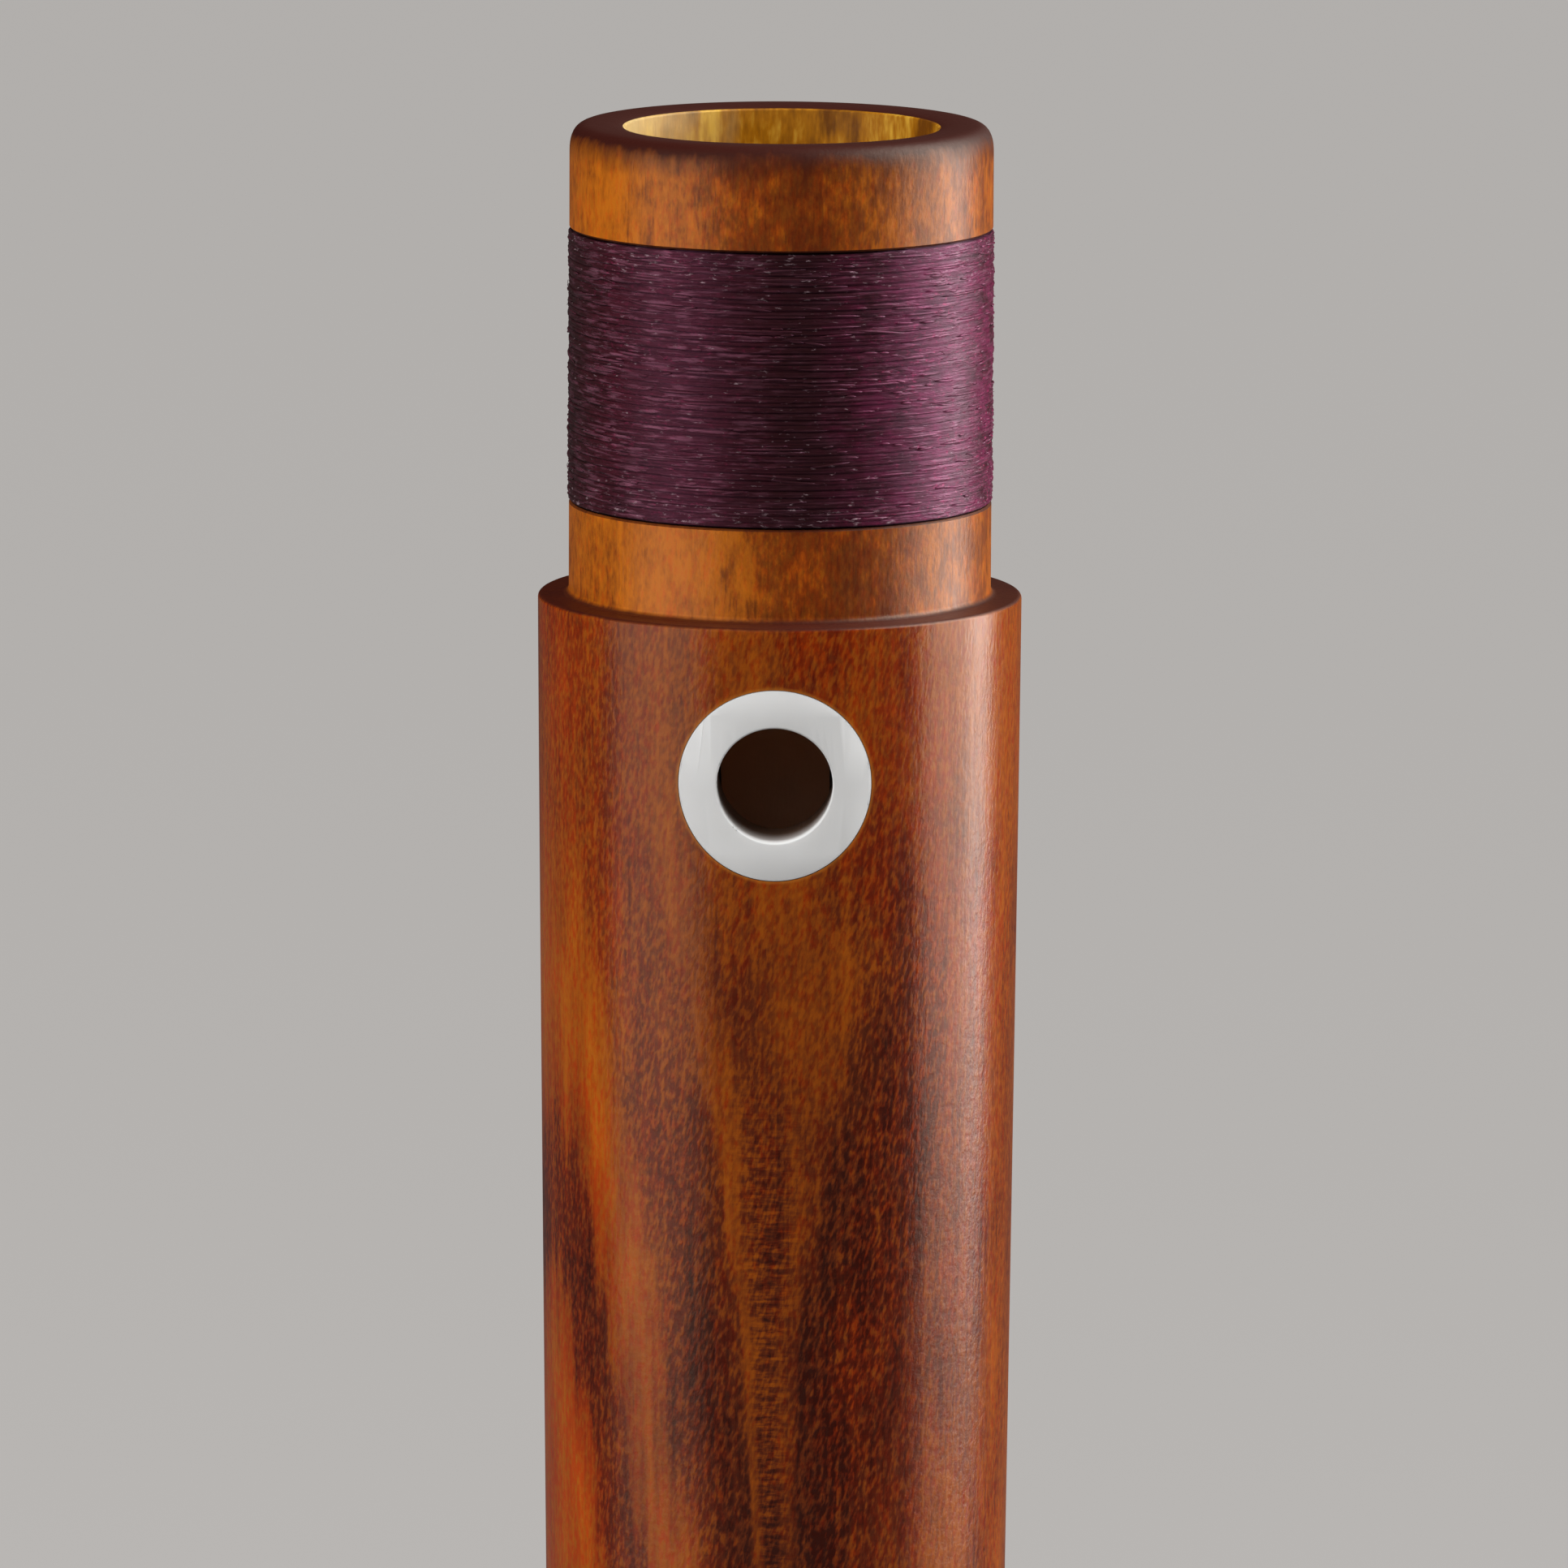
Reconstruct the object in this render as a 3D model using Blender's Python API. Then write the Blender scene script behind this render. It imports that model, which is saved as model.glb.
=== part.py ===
# Alto recorder with its head joint drawn off, so that the thread-lapped tenon is bare.
# The middle joint stands upright in the foot joint, and the head joint stands beside it on its socket end.
# +Z is up the bore, the thumb hole faces -Y, and the finger holes and the window face +Y.
# The origin is on the surface that both stand on, in the middle of their common footprint.

import math

import bmesh
import bpy
from mathutils import Matrix, Vector

MM = 0.001

# Fits
SEAT_GAP = 0.3 * MM
SOCKET_CLEARANCE = 0.3 * MM
BUSHING_GAP = 0.12 * MM
BLOCK_GAP = 0.15 * MM
LAPPING_GAP = 0.1 * MM

# Middle joint, between its shoulders
MIDDLE_LENGTH = 210.0 * MM
MIDDLE_TOP_RADIUS = 14.21 * MM
MIDDLE_BOTTOM_RADIUS = 11.76 * MM
MIDDLE_TAPER_POWER = 1.15
MIDDLE_TAPER_RINGS = 6
SHOULDER_EDGE_ROUND = 0.25 * MM

# Bore of the middle joint, widest at the head joint's end
MIDDLE_BORE_TOP_RADIUS = 9.2 * MM
MIDDLE_BORE_BOTTOM_RADIUS = 7.35 * MM
MIDDLE_BORE_CHOKE = 0.35 * MM

# Upper tenon, which the head joint fits on
UPPER_TENON_RADIUS = 12.4 * MM
UPPER_TENON_LENGTH = 27.7 * MM
UPPER_TENON_END_ROUND = 1.2 * MM
UPPER_TENON_MOUTH_DROP = 0.2 * MM
UPPER_TENON_ROOT_FILLET = 0.4 * MM
UPPER_LAPPING_START = 6.1 * MM
UPPER_LAPPING_LENGTH = 16.1 * MM
UPPER_GROOVE_DEPTH = 1.2 * MM

# Outer layer of the upper lapping
THREAD_DIAMETER = 0.3 * MM
THREAD_TURNS = 21
THREAD_POINTS_PER_TURN = 24
THREAD_STANDS_PROUD = 0.12 * MM

# Lower tenon, which the foot joint fits on
LOWER_TENON_RADIUS = 9.8 * MM
LOWER_TENON_END_CHAMFER = 0.6 * MM
LOWER_LAPPING_START = 5.0 * MM
LOWER_LAPPING_LENGTH = 11.5 * MM
LOWER_GROOVE_DEPTH = 0.9 * MM
LOWER_LAPPING_STANDS_PROUD = 0.1 * MM

# Thumb hole and its bushing, below the upper shoulder
THUMB_HOLE_DROP = 9.2 * MM
THUMB_HOLE_RADIUS = 3.35 * MM
BUSHING_RADIUS = 5.6 * MM

# Finger holes, each with its drop below the upper shoulder, its radius and its turn from the front
FINGER_HOLES = (
    ("finger_hole_1", 32.0 * MM, 3.0 * MM, 0.0),
    ("finger_hole_2", 62.0 * MM, 3.3 * MM, 0.0),
    ("finger_hole_3", 92.0 * MM, 3.2 * MM, 0.0),
    ("finger_hole_4", 128.0 * MM, 3.1 * MM, 0.0),
    ("finger_hole_5", 157.0 * MM, 3.0 * MM, 0.0),
    ("finger_hole_6_large", 185.0 * MM, 2.2 * MM, 14.0),
    ("finger_hole_6_small", 185.0 * MM, 1.75 * MM, -16.0),
)
HOLE_UNDERCUT = 0.4 * MM

# Turned beads and the short necks beside them
BEAD_HALF_HEIGHT = 1.2 * MM
BEAD_STANDS_OUT = 1.2 * MM
NECK_LENGTH = 1.1 * MM
TURNED_EDGE_ROUND = 0.4 * MM

# Foot joint, with the drops of its turned forms below its top and the heights of those above its end
FOOT_LENGTH = 92.0 * MM
FOOT_SOCKET_DEPTH = 22.0 * MM
FOOT_SOCKET_FLOOR_GAP = 0.4 * MM
FOOT_SOCKET_WALL = 3.4 * MM
FOOT_TOP_BEAD_DROP = 2.4 * MM
FOOT_BULGE_RADIUS = 17.6 * MM
FOOT_BULGE_DROP = 12.5 * MM
FOOT_WAIST_RADIUS = 12.7 * MM
FOOT_WAIST_DROP = 43.0 * MM
FOOT_WAIST_BEAD_HEIGHT = 30.5 * MM
FOOT_BELL_RADIUS = 16.2 * MM
FOOT_BELL_HEIGHT = 17.0 * MM
FOOT_END_RADIUS = 14.3 * MM
FOOT_END_BEAD_HEIGHT = 2.9 * MM
FOOT_BORE_TOP_RADIUS = 7.3 * MM
FOOT_BORE_CHOKE_RADIUS = 6.5 * MM
FOOT_BORE_CHOKE_HEIGHT = 24.0 * MM
FOOT_BORE_END_RADIUS = 7.6 * MM
FOOT_RADIUS_AT_HOLES = 14.2 * MM
FOOT_HOLES = (
    ("finger_hole_7_large", 26.5 * MM, 2.4 * MM, 13.0),
    ("finger_hole_7_small", 26.5 * MM, 1.95 * MM, -15.0),
)

# Head joint, with the heights of its turned forms above its socket end
HEAD_LENGTH = 195.0 * MM
HEAD_END_RADIUS = 17.2 * MM
HEAD_END_BEAD_HEIGHT = 3.4 * MM
HEAD_BULGE_RADIUS = 19.6 * MM
HEAD_BULGE_HEIGHT = 14.5 * MM
HEAD_NECK_RADIUS = 15.8 * MM
HEAD_NECK_BEAD_HEIGHT = 49.0 * MM
HEAD_STEM_RADIUS = 15.5 * MM
HEAD_TIP_RADIUS = 14.5 * MM
HEAD_TIP_TAPER = 22.0 * MM
HEAD_TIP_ROUND = 1.0 * MM
HEAD_BORE_RADIUS = 9.65 * MM
HEAD_SOCKET_FLOOR_GAP = 0.5 * MM

# Windway, window and labium, measured down from the tip of the beak
WINDWAY_LENGTH = 61.0 * MM
WINDWAY_WIDTH = 12.6 * MM
WINDWAY_ROOF_RADIUS = 10.7 * MM
WINDWAY_FLOOR_RADIUS = 9.2 * MM
CUT_UP = 4.3 * MM
WINDOW_WIDTH = 12.2 * MM
LABIUM_EDGE_RADIUS = 9.95 * MM
RAMP_SLOPE = 13.0
BLOCK_CHAMFER = 0.9 * MM

# Beak, cut away at the back of the head in a hollow curve
BEAK_LENGTH = 58.0 * MM
BEAK_TIP_THICKNESS = 11.5 * MM
BEAK_RUN_IN = 2.0 * MM
BEAK_HOLLOW_DEPTH = 2.5 * MM
BEAK_HOLLOW_HEIGHT = 0.36 * BEAK_LENGTH

# Where the head joint stands
HEAD_TO_FOOT_SPACE = 9.0 * MM

# Fineness of the turned and drilled faces
TURNED_SEGMENTS = 44
HOLE_SEGMENTS = 24
BUSHING_SEGMENTS = 40
SHARP_EDGE_ANGLE = 28.0

# How far cutters reach past the outside, and into a bore
CUT_MARGIN = 4.0 * MM
CUT_INTO_BORE = 2.4 * MM

# Heights that follow from the sizes above
LOWER_SHOULDER = FOOT_LENGTH + SEAT_GAP
UPPER_SHOULDER = LOWER_SHOULDER + MIDDLE_LENGTH
UPPER_TENON_TOP = UPPER_SHOULDER + UPPER_TENON_LENGTH
LOWER_TENON_LENGTH = FOOT_SOCKET_DEPTH + SEAT_GAP - FOOT_SOCKET_FLOOR_GAP
LOWER_TENON_END = LOWER_SHOULDER - LOWER_TENON_LENGTH
FOOT_SOCKET_FLOOR = FOOT_LENGTH - FOOT_SOCKET_DEPTH
HEAD_SOCKET_RADIUS = UPPER_TENON_RADIUS + THREAD_STANDS_PROUD + LAPPING_GAP
HEAD_SOCKET_DEPTH = UPPER_TENON_LENGTH + HEAD_SOCKET_FLOOR_GAP
WINDOW_TOP = HEAD_LENGTH - WINDWAY_LENGTH
LABIUM_HEIGHT = WINDOW_TOP - CUT_UP

# Places of the two upright axes, either side of the origin
AXIS_SPACING = FOOT_BULGE_RADIUS + HEAD_TO_FOOT_SPACE + HEAD_BULGE_RADIUS
BODY_AXIS_X = (FOOT_BULGE_RADIUS - AXIS_SPACING - HEAD_BULGE_RADIUS) / 2
HEAD_AXIS_X = BODY_AXIS_X + AXIS_SPACING


# Outline helpers. An outline is a list of (radius, height) points.

def arc(centre, radius, start, end, steps=3):
    """Points of a round stretch, from start to end degrees, counted from the +radius direction."""
    points = []
    for i in range(steps + 1):
        turn = math.radians(start + (end - start) * i / steps)
        points.append((centre[0] + radius * math.cos(turn), centre[1] + radius * math.sin(turn)))
    return points


def sweep(start, pull, end, steps=4):
    """Points of a smooth curve that leaves start and reaches end, drawn towards pull."""
    points = []
    for i in range(steps + 1):
        t = i / steps
        weights = ((1 - t) ** 2, 2 * t * (1 - t), t * t)
        points.append(tuple(sum(w * p[k] for w, p in zip(weights, (start, pull, end))) for k in (0, 1)))
    return points


def middle_radius(drop):
    """Outside radius of the middle joint, this far below its upper shoulder."""
    share = drop / MIDDLE_LENGTH
    return MIDDLE_TOP_RADIUS - (MIDDLE_TOP_RADIUS - MIDDLE_BOTTOM_RADIUS) * share**MIDDLE_TAPER_POWER


def bead(radius, height):
    """A small turned ring round a neck of this radius, drawn from its top to its bottom."""
    outer = radius + BEAD_STANDS_OUT
    return arc((outer - BEAD_HALF_HEIGHT, height), BEAD_HALF_HEIGHT, 78, -78)


def middle_outline():
    """Wall of the middle joint, from the bore at its top, down the outside and back up the bore."""
    lapping_top = UPPER_TENON_TOP - UPPER_LAPPING_START
    lapping_bottom = lapping_top - UPPER_LAPPING_LENGTH
    upper_groove = UPPER_TENON_RADIUS - UPPER_GROOVE_DEPTH
    end_round = (UPPER_TENON_RADIUS - UPPER_TENON_END_ROUND, UPPER_TENON_TOP - UPPER_TENON_END_ROUND)
    fillet = (UPPER_TENON_RADIUS + UPPER_TENON_ROOT_FILLET, UPPER_SHOULDER + UPPER_TENON_ROOT_FILLET)
    edge = SHOULDER_EDGE_ROUND
    mouth = (MIDDLE_BORE_TOP_RADIUS, UPPER_TENON_TOP - UPPER_TENON_MOUTH_DROP)
    outline = [mouth]
    outline += arc(end_round, UPPER_TENON_END_ROUND, 90, 0)
    outline += [(UPPER_TENON_RADIUS, lapping_top), (upper_groove, lapping_top)]
    outline += [(upper_groove, lapping_bottom), (UPPER_TENON_RADIUS, lapping_bottom)]
    outline += arc(fillet, UPPER_TENON_ROOT_FILLET, 180, 270, 2)
    outline += arc((MIDDLE_TOP_RADIUS - edge, UPPER_SHOULDER - edge), edge, 90, 0, 2)
    for i in range(1, MIDDLE_TAPER_RINGS):
        drop = MIDDLE_LENGTH * i / MIDDLE_TAPER_RINGS
        outline.append((middle_radius(drop), UPPER_SHOULDER - drop))
    outline += arc((MIDDLE_BOTTOM_RADIUS - edge, LOWER_SHOULDER + edge), edge, 0, -90, 2)
    lower_top = LOWER_SHOULDER - LOWER_LAPPING_START
    lower_bottom = lower_top - LOWER_LAPPING_LENGTH
    lower_groove = LOWER_TENON_RADIUS - LOWER_GROOVE_DEPTH
    outline += [(LOWER_TENON_RADIUS, LOWER_SHOULDER), (LOWER_TENON_RADIUS, lower_top)]
    outline += [(lower_groove, lower_top), (lower_groove, lower_bottom), (LOWER_TENON_RADIUS, lower_bottom)]
    outline.append((LOWER_TENON_RADIUS, LOWER_TENON_END + LOWER_TENON_END_CHAMFER))
    outline.append((LOWER_TENON_RADIUS - LOWER_TENON_END_CHAMFER, LOWER_TENON_END))
    bore_middle = (MIDDLE_BORE_BOTTOM_RADIUS + MIDDLE_BORE_TOP_RADIUS) / 2 - MIDDLE_BORE_CHOKE
    pull = (bore_middle, (LOWER_TENON_END + mouth[1]) / 2)
    bottom = (MIDDLE_BORE_BOTTOM_RADIUS, LOWER_TENON_END)
    outline += sweep(bottom, pull, mouth, 5)[:-1]
    return outline


def foot_outline():
    """Wall of the foot joint: a bead and a bulge round the socket, a waist, and a bell at the end."""
    top = FOOT_LENGTH
    socket = LOWER_TENON_RADIUS + SOCKET_CLEARANCE
    lip = socket + FOOT_SOCKET_WALL
    edge = TURNED_EDGE_ROUND
    outline = [(socket, top)]
    outline += arc((lip - edge, top - edge), edge, 90, 0, 2)
    outline += bead(lip, top - FOOT_TOP_BEAD_DROP)
    neck = top - FOOT_TOP_BEAD_DROP - BEAD_HALF_HEIGHT
    outline += [(lip, neck), (lip, neck - NECK_LENGTH)]
    bulge = (FOOT_BULGE_RADIUS, top - FOOT_BULGE_DROP)
    cup_top = (lip + NECK_LENGTH, neck - NECK_LENGTH)
    outline += sweep(cup_top, (FOOT_BULGE_RADIUS, neck - 2 * NECK_LENGTH), bulge)
    waist = (FOOT_WAIST_RADIUS, top - FOOT_WAIST_DROP)
    halfway = ((bulge[0] + waist[0]) / 2, (2 * bulge[1] + waist[1]) / 3)
    outline += sweep(bulge, (bulge[0], (bulge[1] + halfway[1]) / 2), halfway)[1:]
    outline += sweep(halfway, (waist[0], (halfway[1] + waist[1]) / 2), waist)[1:]
    outline.append((FOOT_WAIST_RADIUS, FOOT_WAIST_BEAD_HEIGHT + BEAD_HALF_HEIGHT + NECK_LENGTH))
    outline += bead(FOOT_WAIST_RADIUS, FOOT_WAIST_BEAD_HEIGHT)
    bell = (FOOT_BELL_RADIUS, FOOT_BELL_HEIGHT)
    bell_top = FOOT_WAIST_BEAD_HEIGHT - BEAD_HALF_HEIGHT - NECK_LENGTH
    outline.append((FOOT_WAIST_RADIUS, bell_top + NECK_LENGTH))
    outline += sweep((FOOT_WAIST_RADIUS, bell_top), (bell[0], bell_top), bell)
    end_neck = FOOT_END_BEAD_HEIGHT + BEAD_HALF_HEIGHT + NECK_LENGTH
    outline += sweep(bell, (bell[0], (bell[1] + end_neck) / 2), (FOOT_END_RADIUS, end_neck), 3)[1:]
    outline.append((FOOT_END_RADIUS, end_neck - NECK_LENGTH))
    outline += bead(FOOT_END_RADIUS, FOOT_END_BEAD_HEIGHT)
    outline += arc((FOOT_END_RADIUS - edge, edge), edge, 0, -90, 2)
    outline += [(FOOT_BORE_END_RADIUS, 0.0), (FOOT_BORE_CHOKE_RADIUS, FOOT_BORE_CHOKE_HEIGHT)]
    outline += [(FOOT_BORE_TOP_RADIUS, FOOT_SOCKET_FLOOR), (socket, FOOT_SOCKET_FLOOR)]
    return outline


def head_outline():
    """Wall of the head joint on its socket end: a bead and a bulge round the socket, then the stem."""
    edge = TURNED_EDGE_ROUND
    tip = HEAD_TIP_ROUND
    tip_edge = (HEAD_TIP_RADIUS, HEAD_LENGTH - tip)
    taper_end = (HEAD_STEM_RADIUS, HEAD_LENGTH - HEAD_TIP_TAPER)
    outline = [(HEAD_BORE_RADIUS, HEAD_LENGTH)]
    outline += arc((HEAD_TIP_RADIUS - tip, HEAD_LENGTH - tip), tip, 90, 0)
    outline += sweep(tip_edge, taper_end, (HEAD_STEM_RADIUS, WINDOW_TOP))[1:]
    outline.append((HEAD_STEM_RADIUS, HEAD_NECK_BEAD_HEIGHT + BEAD_HALF_HEIGHT + NECK_LENGTH))
    outline += bead(HEAD_STEM_RADIUS, HEAD_NECK_BEAD_HEIGHT)
    neck = (HEAD_NECK_RADIUS, HEAD_NECK_BEAD_HEIGHT - BEAD_HALF_HEIGHT - NECK_LENGTH)
    outline.append((HEAD_NECK_RADIUS, neck[1] + NECK_LENGTH))
    bulge = (HEAD_BULGE_RADIUS, HEAD_BULGE_HEIGHT)
    halfway = ((neck[0] + bulge[0]) / 2, (neck[1] + 2 * bulge[1]) / 3)
    outline += sweep(neck, (neck[0], (neck[1] + halfway[1]) / 2), halfway)
    outline += sweep(halfway, (bulge[0], (halfway[1] + bulge[1]) / 2), bulge)[1:]
    end_neck = HEAD_END_BEAD_HEIGHT + BEAD_HALF_HEIGHT + NECK_LENGTH
    outline += sweep(bulge, (bulge[0], end_neck + NECK_LENGTH), (HEAD_END_RADIUS + NECK_LENGTH, end_neck))[1:]
    outline += [(HEAD_END_RADIUS, end_neck), (HEAD_END_RADIUS, end_neck - NECK_LENGTH)]
    outline += bead(HEAD_END_RADIUS, HEAD_END_BEAD_HEIGHT)
    outline += arc((HEAD_END_RADIUS - edge, edge), edge, 0, -90, 2)
    outline += [(HEAD_SOCKET_RADIUS, 0.0), (HEAD_SOCKET_RADIUS, HEAD_SOCKET_DEPTH)]
    outline.append((HEAD_BORE_RADIUS, HEAD_SOCKET_DEPTH))
    return outline


# Mesh helpers

def material(name, colour, roughness, metallic=0.0):
    finish = bpy.data.materials.new(name)
    finish.use_nodes = True
    shader = finish.node_tree.nodes["Principled BSDF"]
    shader.inputs["Base Color"].default_value = (*colour, 1.0)
    shader.inputs["Roughness"].default_value = roughness
    shader.inputs["Metallic"].default_value = metallic
    finish.diffuse_color = (*colour, 1.0)
    return finish


def object_from(name, shape, finish=None, smooth=True):
    """An object made from a bmesh, which is freed."""
    bmesh.ops.recalc_face_normals(shape, faces=shape.faces)
    mesh = bpy.data.meshes.new(name)
    shape.to_mesh(mesh)
    shape.free()
    if finish:
        mesh.materials.append(finish)
    if smooth:
        mesh.shade_smooth()
        mesh.set_sharp_from_angle(angle=math.radians(SHARP_EDGE_ANGLE))
    made = bpy.data.objects.new(name, mesh)
    bpy.context.scene.collection.objects.link(made)
    return made


def closed_rings(rings):
    """A bmesh whose rings of points are joined in a loop, each ring to the next and the last to the first."""
    shape = bmesh.new()
    rows = [[shape.verts.new(point) for point in ring] for ring in rings]
    for row, following in zip(rows, rows[1:] + rows[:1]):
        for i in range(len(row)):
            j = (i + 1) % len(row)
            shape.faces.new((row[i], row[j], following[j], following[i]))
    return shape


def turned(name, outline, finish=None):
    """A ring turned about Z from a closed outline that stays off the axis."""
    rings = []
    for i in range(TURNED_SEGMENTS):
        turn = 2 * math.pi * i / TURNED_SEGMENTS
        rings.append([(r * math.cos(turn), r * math.sin(turn), z) for r, z in outline])
    return object_from(name, closed_rings(rings), finish)


def slab(rings):
    """A bmesh skinned over rings of points, with a face across the first and the last."""
    shape = bmesh.new()
    rows = [[shape.verts.new(point) for point in ring] for ring in rings]
    for row, following in zip(rows, rows[1:]):
        for i in range(len(row)):
            j = (i + 1) % len(row)
            shape.faces.new((row[i], row[j], following[j], following[i]))
    shape.faces.new(rows[0])
    shape.faces.new(rows[-1])
    return shape


def as_cutter(made):
    made.hide_render = True
    made.display_type = "WIRE"
    return made


def arched_cutter(name, outline, width, stations=12):
    """A cutter with flat, parallel sides whose faces arch round the bore, from an outline like a wall's."""
    rings = []
    for i in range(stations + 1):
        x = width * (i / stations - 0.5)
        rings.append([(x, math.sqrt(r * r - x * x), z) for r, z in outline])
    return as_cutter(object_from(name, slab(rings), smooth=False))


def hole_cutter(name, height, radius, turn, outside, wall):
    """A drill for a tone hole, undercut towards the bore and turned about Z from the front."""
    inner, outer = outside - wall - CUT_MARGIN, outside + CUT_MARGIN
    slope = HOLE_UNDERCUT / wall
    shape = bmesh.new()
    aim = Matrix.Rotation(math.radians(turn), 4, "Z") @ Matrix.Translation((0, (inner + outer) / 2, height))
    bmesh.ops.create_cone(
        shape,
        cap_ends=True,
        segments=HOLE_SEGMENTS,
        radius1=radius + slope * (outside - inner),
        radius2=radius - slope * (outer - outside),
        depth=outer - inner,
        matrix=aim @ Matrix.Rotation(math.radians(-90), 4, "X"),
    )
    return as_cutter(object_from(name, shape, smooth=False))


def cut(made, name, cutters, operation="DIFFERENCE"):
    """One exact Boolean with all of these cutters, which are kept together in a collection."""
    group = bpy.data.collections.new(name)
    bpy.context.scene.collection.children.link(group)
    group.hide_render = True
    for cutter in cutters:
        bpy.context.scene.collection.objects.unlink(cutter)
        group.objects.link(cutter)
    modifier = made.modifiers.new(name, "BOOLEAN")
    modifier.operation = operation
    modifier.solver = "EXACT"
    modifier.operand_type = "COLLECTION"
    modifier.collection = group


def carry(axis, pieces):
    """These pieces and cutters move with the empty on their joint's axis."""
    for piece in pieces:
        piece.parent = axis


def axis_empty(name, x):
    empty = bpy.data.objects.new(name, None)
    empty.location = (x, 0, 0)
    empty.empty_display_size = 20 * MM
    bpy.context.scene.collection.objects.link(empty)
    return empty


# Pieces of the middle joint

def bushing_seat(name, radius, hole_radius=None):
    """A plug across the wall at the thumb hole, or a ring if it has a hole, lying along Y."""
    height = UPPER_SHOULDER - THUMB_HOLE_DROP
    inner, outer = CUT_INTO_BORE - MIDDLE_BORE_BOTTOM_RADIUS, -MIDDLE_TOP_RADIUS - CUT_MARGIN
    if hole_radius is None:
        lying = Matrix.Rotation(math.pi / 2, 4, "X")
        shape = bmesh.new()
        bmesh.ops.create_cone(
            shape,
            cap_ends=True,
            segments=BUSHING_SEGMENTS,
            radius1=radius,
            radius2=radius,
            depth=inner - outer,
            matrix=Matrix.Translation((0, (inner + outer) / 2, height)) @ lying,
        )
        return object_from(name, shape, smooth=False)
    rings = []
    for i in range(BUSHING_SEGMENTS):
        turn = 2 * math.pi * i / BUSHING_SEGMENTS
        across, up = math.cos(turn), math.sin(turn)
        corners = ((hole_radius, outer), (radius, outer), (radius, inner), (hole_radius, inner))
        rings.append([(r * across, y, height + r * up) for r, y in corners])
    return object_from(name, closed_rings(rings))


def thumb_hole_bushing(finish):
    """A ring through the whole wall, dressed flush with the outside and with the bore."""
    ring = bushing_seat("thumb_hole_bushing", BUSHING_RADIUS, THUMB_HOLE_RADIUS)
    ring.data.materials.append(finish)
    wall = as_cutter(turned("wall_form", middle_outline()))
    cut(ring, "dressed_to_the_wall", [wall], "INTERSECT")
    return ring, wall


def middle_body(finish):
    body = turned("middle_body", middle_outline(), finish)
    bore_span = MIDDLE_BORE_TOP_RADIUS - MIDDLE_BORE_BOTTOM_RADIUS
    drills = [as_cutter(bushing_seat("thumb_hole_seat", BUSHING_RADIUS + BUSHING_GAP))]
    for name, drop, radius, turn in FINGER_HOLES:
        outside = middle_radius(drop)
        wall = outside - (MIDDLE_BORE_TOP_RADIUS - bore_span * drop / MIDDLE_LENGTH)
        drills.append(hole_cutter(name, UPPER_SHOULDER - drop, radius, turn, outside, wall))
    cut(body, "middle_joint_drilling", drills)
    return body, drills


def lapping_sleeve(name, top, length, inner, outer, finish):
    """Packed under-layers of thread, as one plain sleeve in its groove."""
    high, low = top - LAPPING_GAP, top - length + LAPPING_GAP
    return turned(name, [(inner, high), (outer, high), (outer, low), (inner, low)], finish)


def thread_path():
    """Centreline of the outer layer: a steady helix with a short straight tail at each end."""
    radius = UPPER_TENON_RADIUS + THREAD_STANDS_PROUD - THREAD_DIAMETER / 2
    top = UPPER_TENON_TOP - UPPER_LAPPING_START - LAPPING_GAP - THREAD_DIAMETER / 2
    bottom = top - UPPER_LAPPING_LENGTH + 2 * LAPPING_GAP + THREAD_DIAMETER
    count = THREAD_TURNS * THREAD_POINTS_PER_TURN
    points = []
    for i in range(count + 1):
        turn = 2 * math.pi * i / THREAD_POINTS_PER_TURN
        height = top + (bottom - top) * i / count
        points.append(Vector((radius * math.cos(turn), radius * math.sin(turn), height)))
    points.insert(0, points[0] + (points[0] - points[1]).normalized() * THREAD_DIAMETER)
    points.append(points[-1] + (points[-1] - points[-2]).normalized() * THREAD_DIAMETER)
    return points


def report_thread_gap(points):
    """Prints the least gap between neighbouring turns, measured from point to point."""
    least = min(
        (a - b).length - THREAD_DIAMETER
        for i, a in enumerate(points)
        for b in points[i + THREAD_POINTS_PER_TURN // 2 : i + 2 * THREAD_POINTS_PER_TURN]
    )
    print(f"upper lapping: {THREAD_TURNS} turns, least gap between turns {least / MM:.3f} mm")


def upper_lapping_thread(finish):
    points = thread_path()
    report_thread_gap(points)
    line = bpy.data.curves.new("upper_lapping_thread", "CURVE")
    line.dimensions = "3D"
    line.bevel_depth = THREAD_DIAMETER / 2
    line.bevel_resolution = 1
    line.use_fill_caps = True
    line.materials.append(finish)
    spline = line.splines.new("POLY")
    spline.points.add(len(points) - 1)
    for target, point in zip(spline.points, points):
        target.co = (*point, 1.0)
    made = bpy.data.objects.new("upper_lapping_thread", line)
    bpy.context.scene.collection.objects.link(made)
    return made


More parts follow.
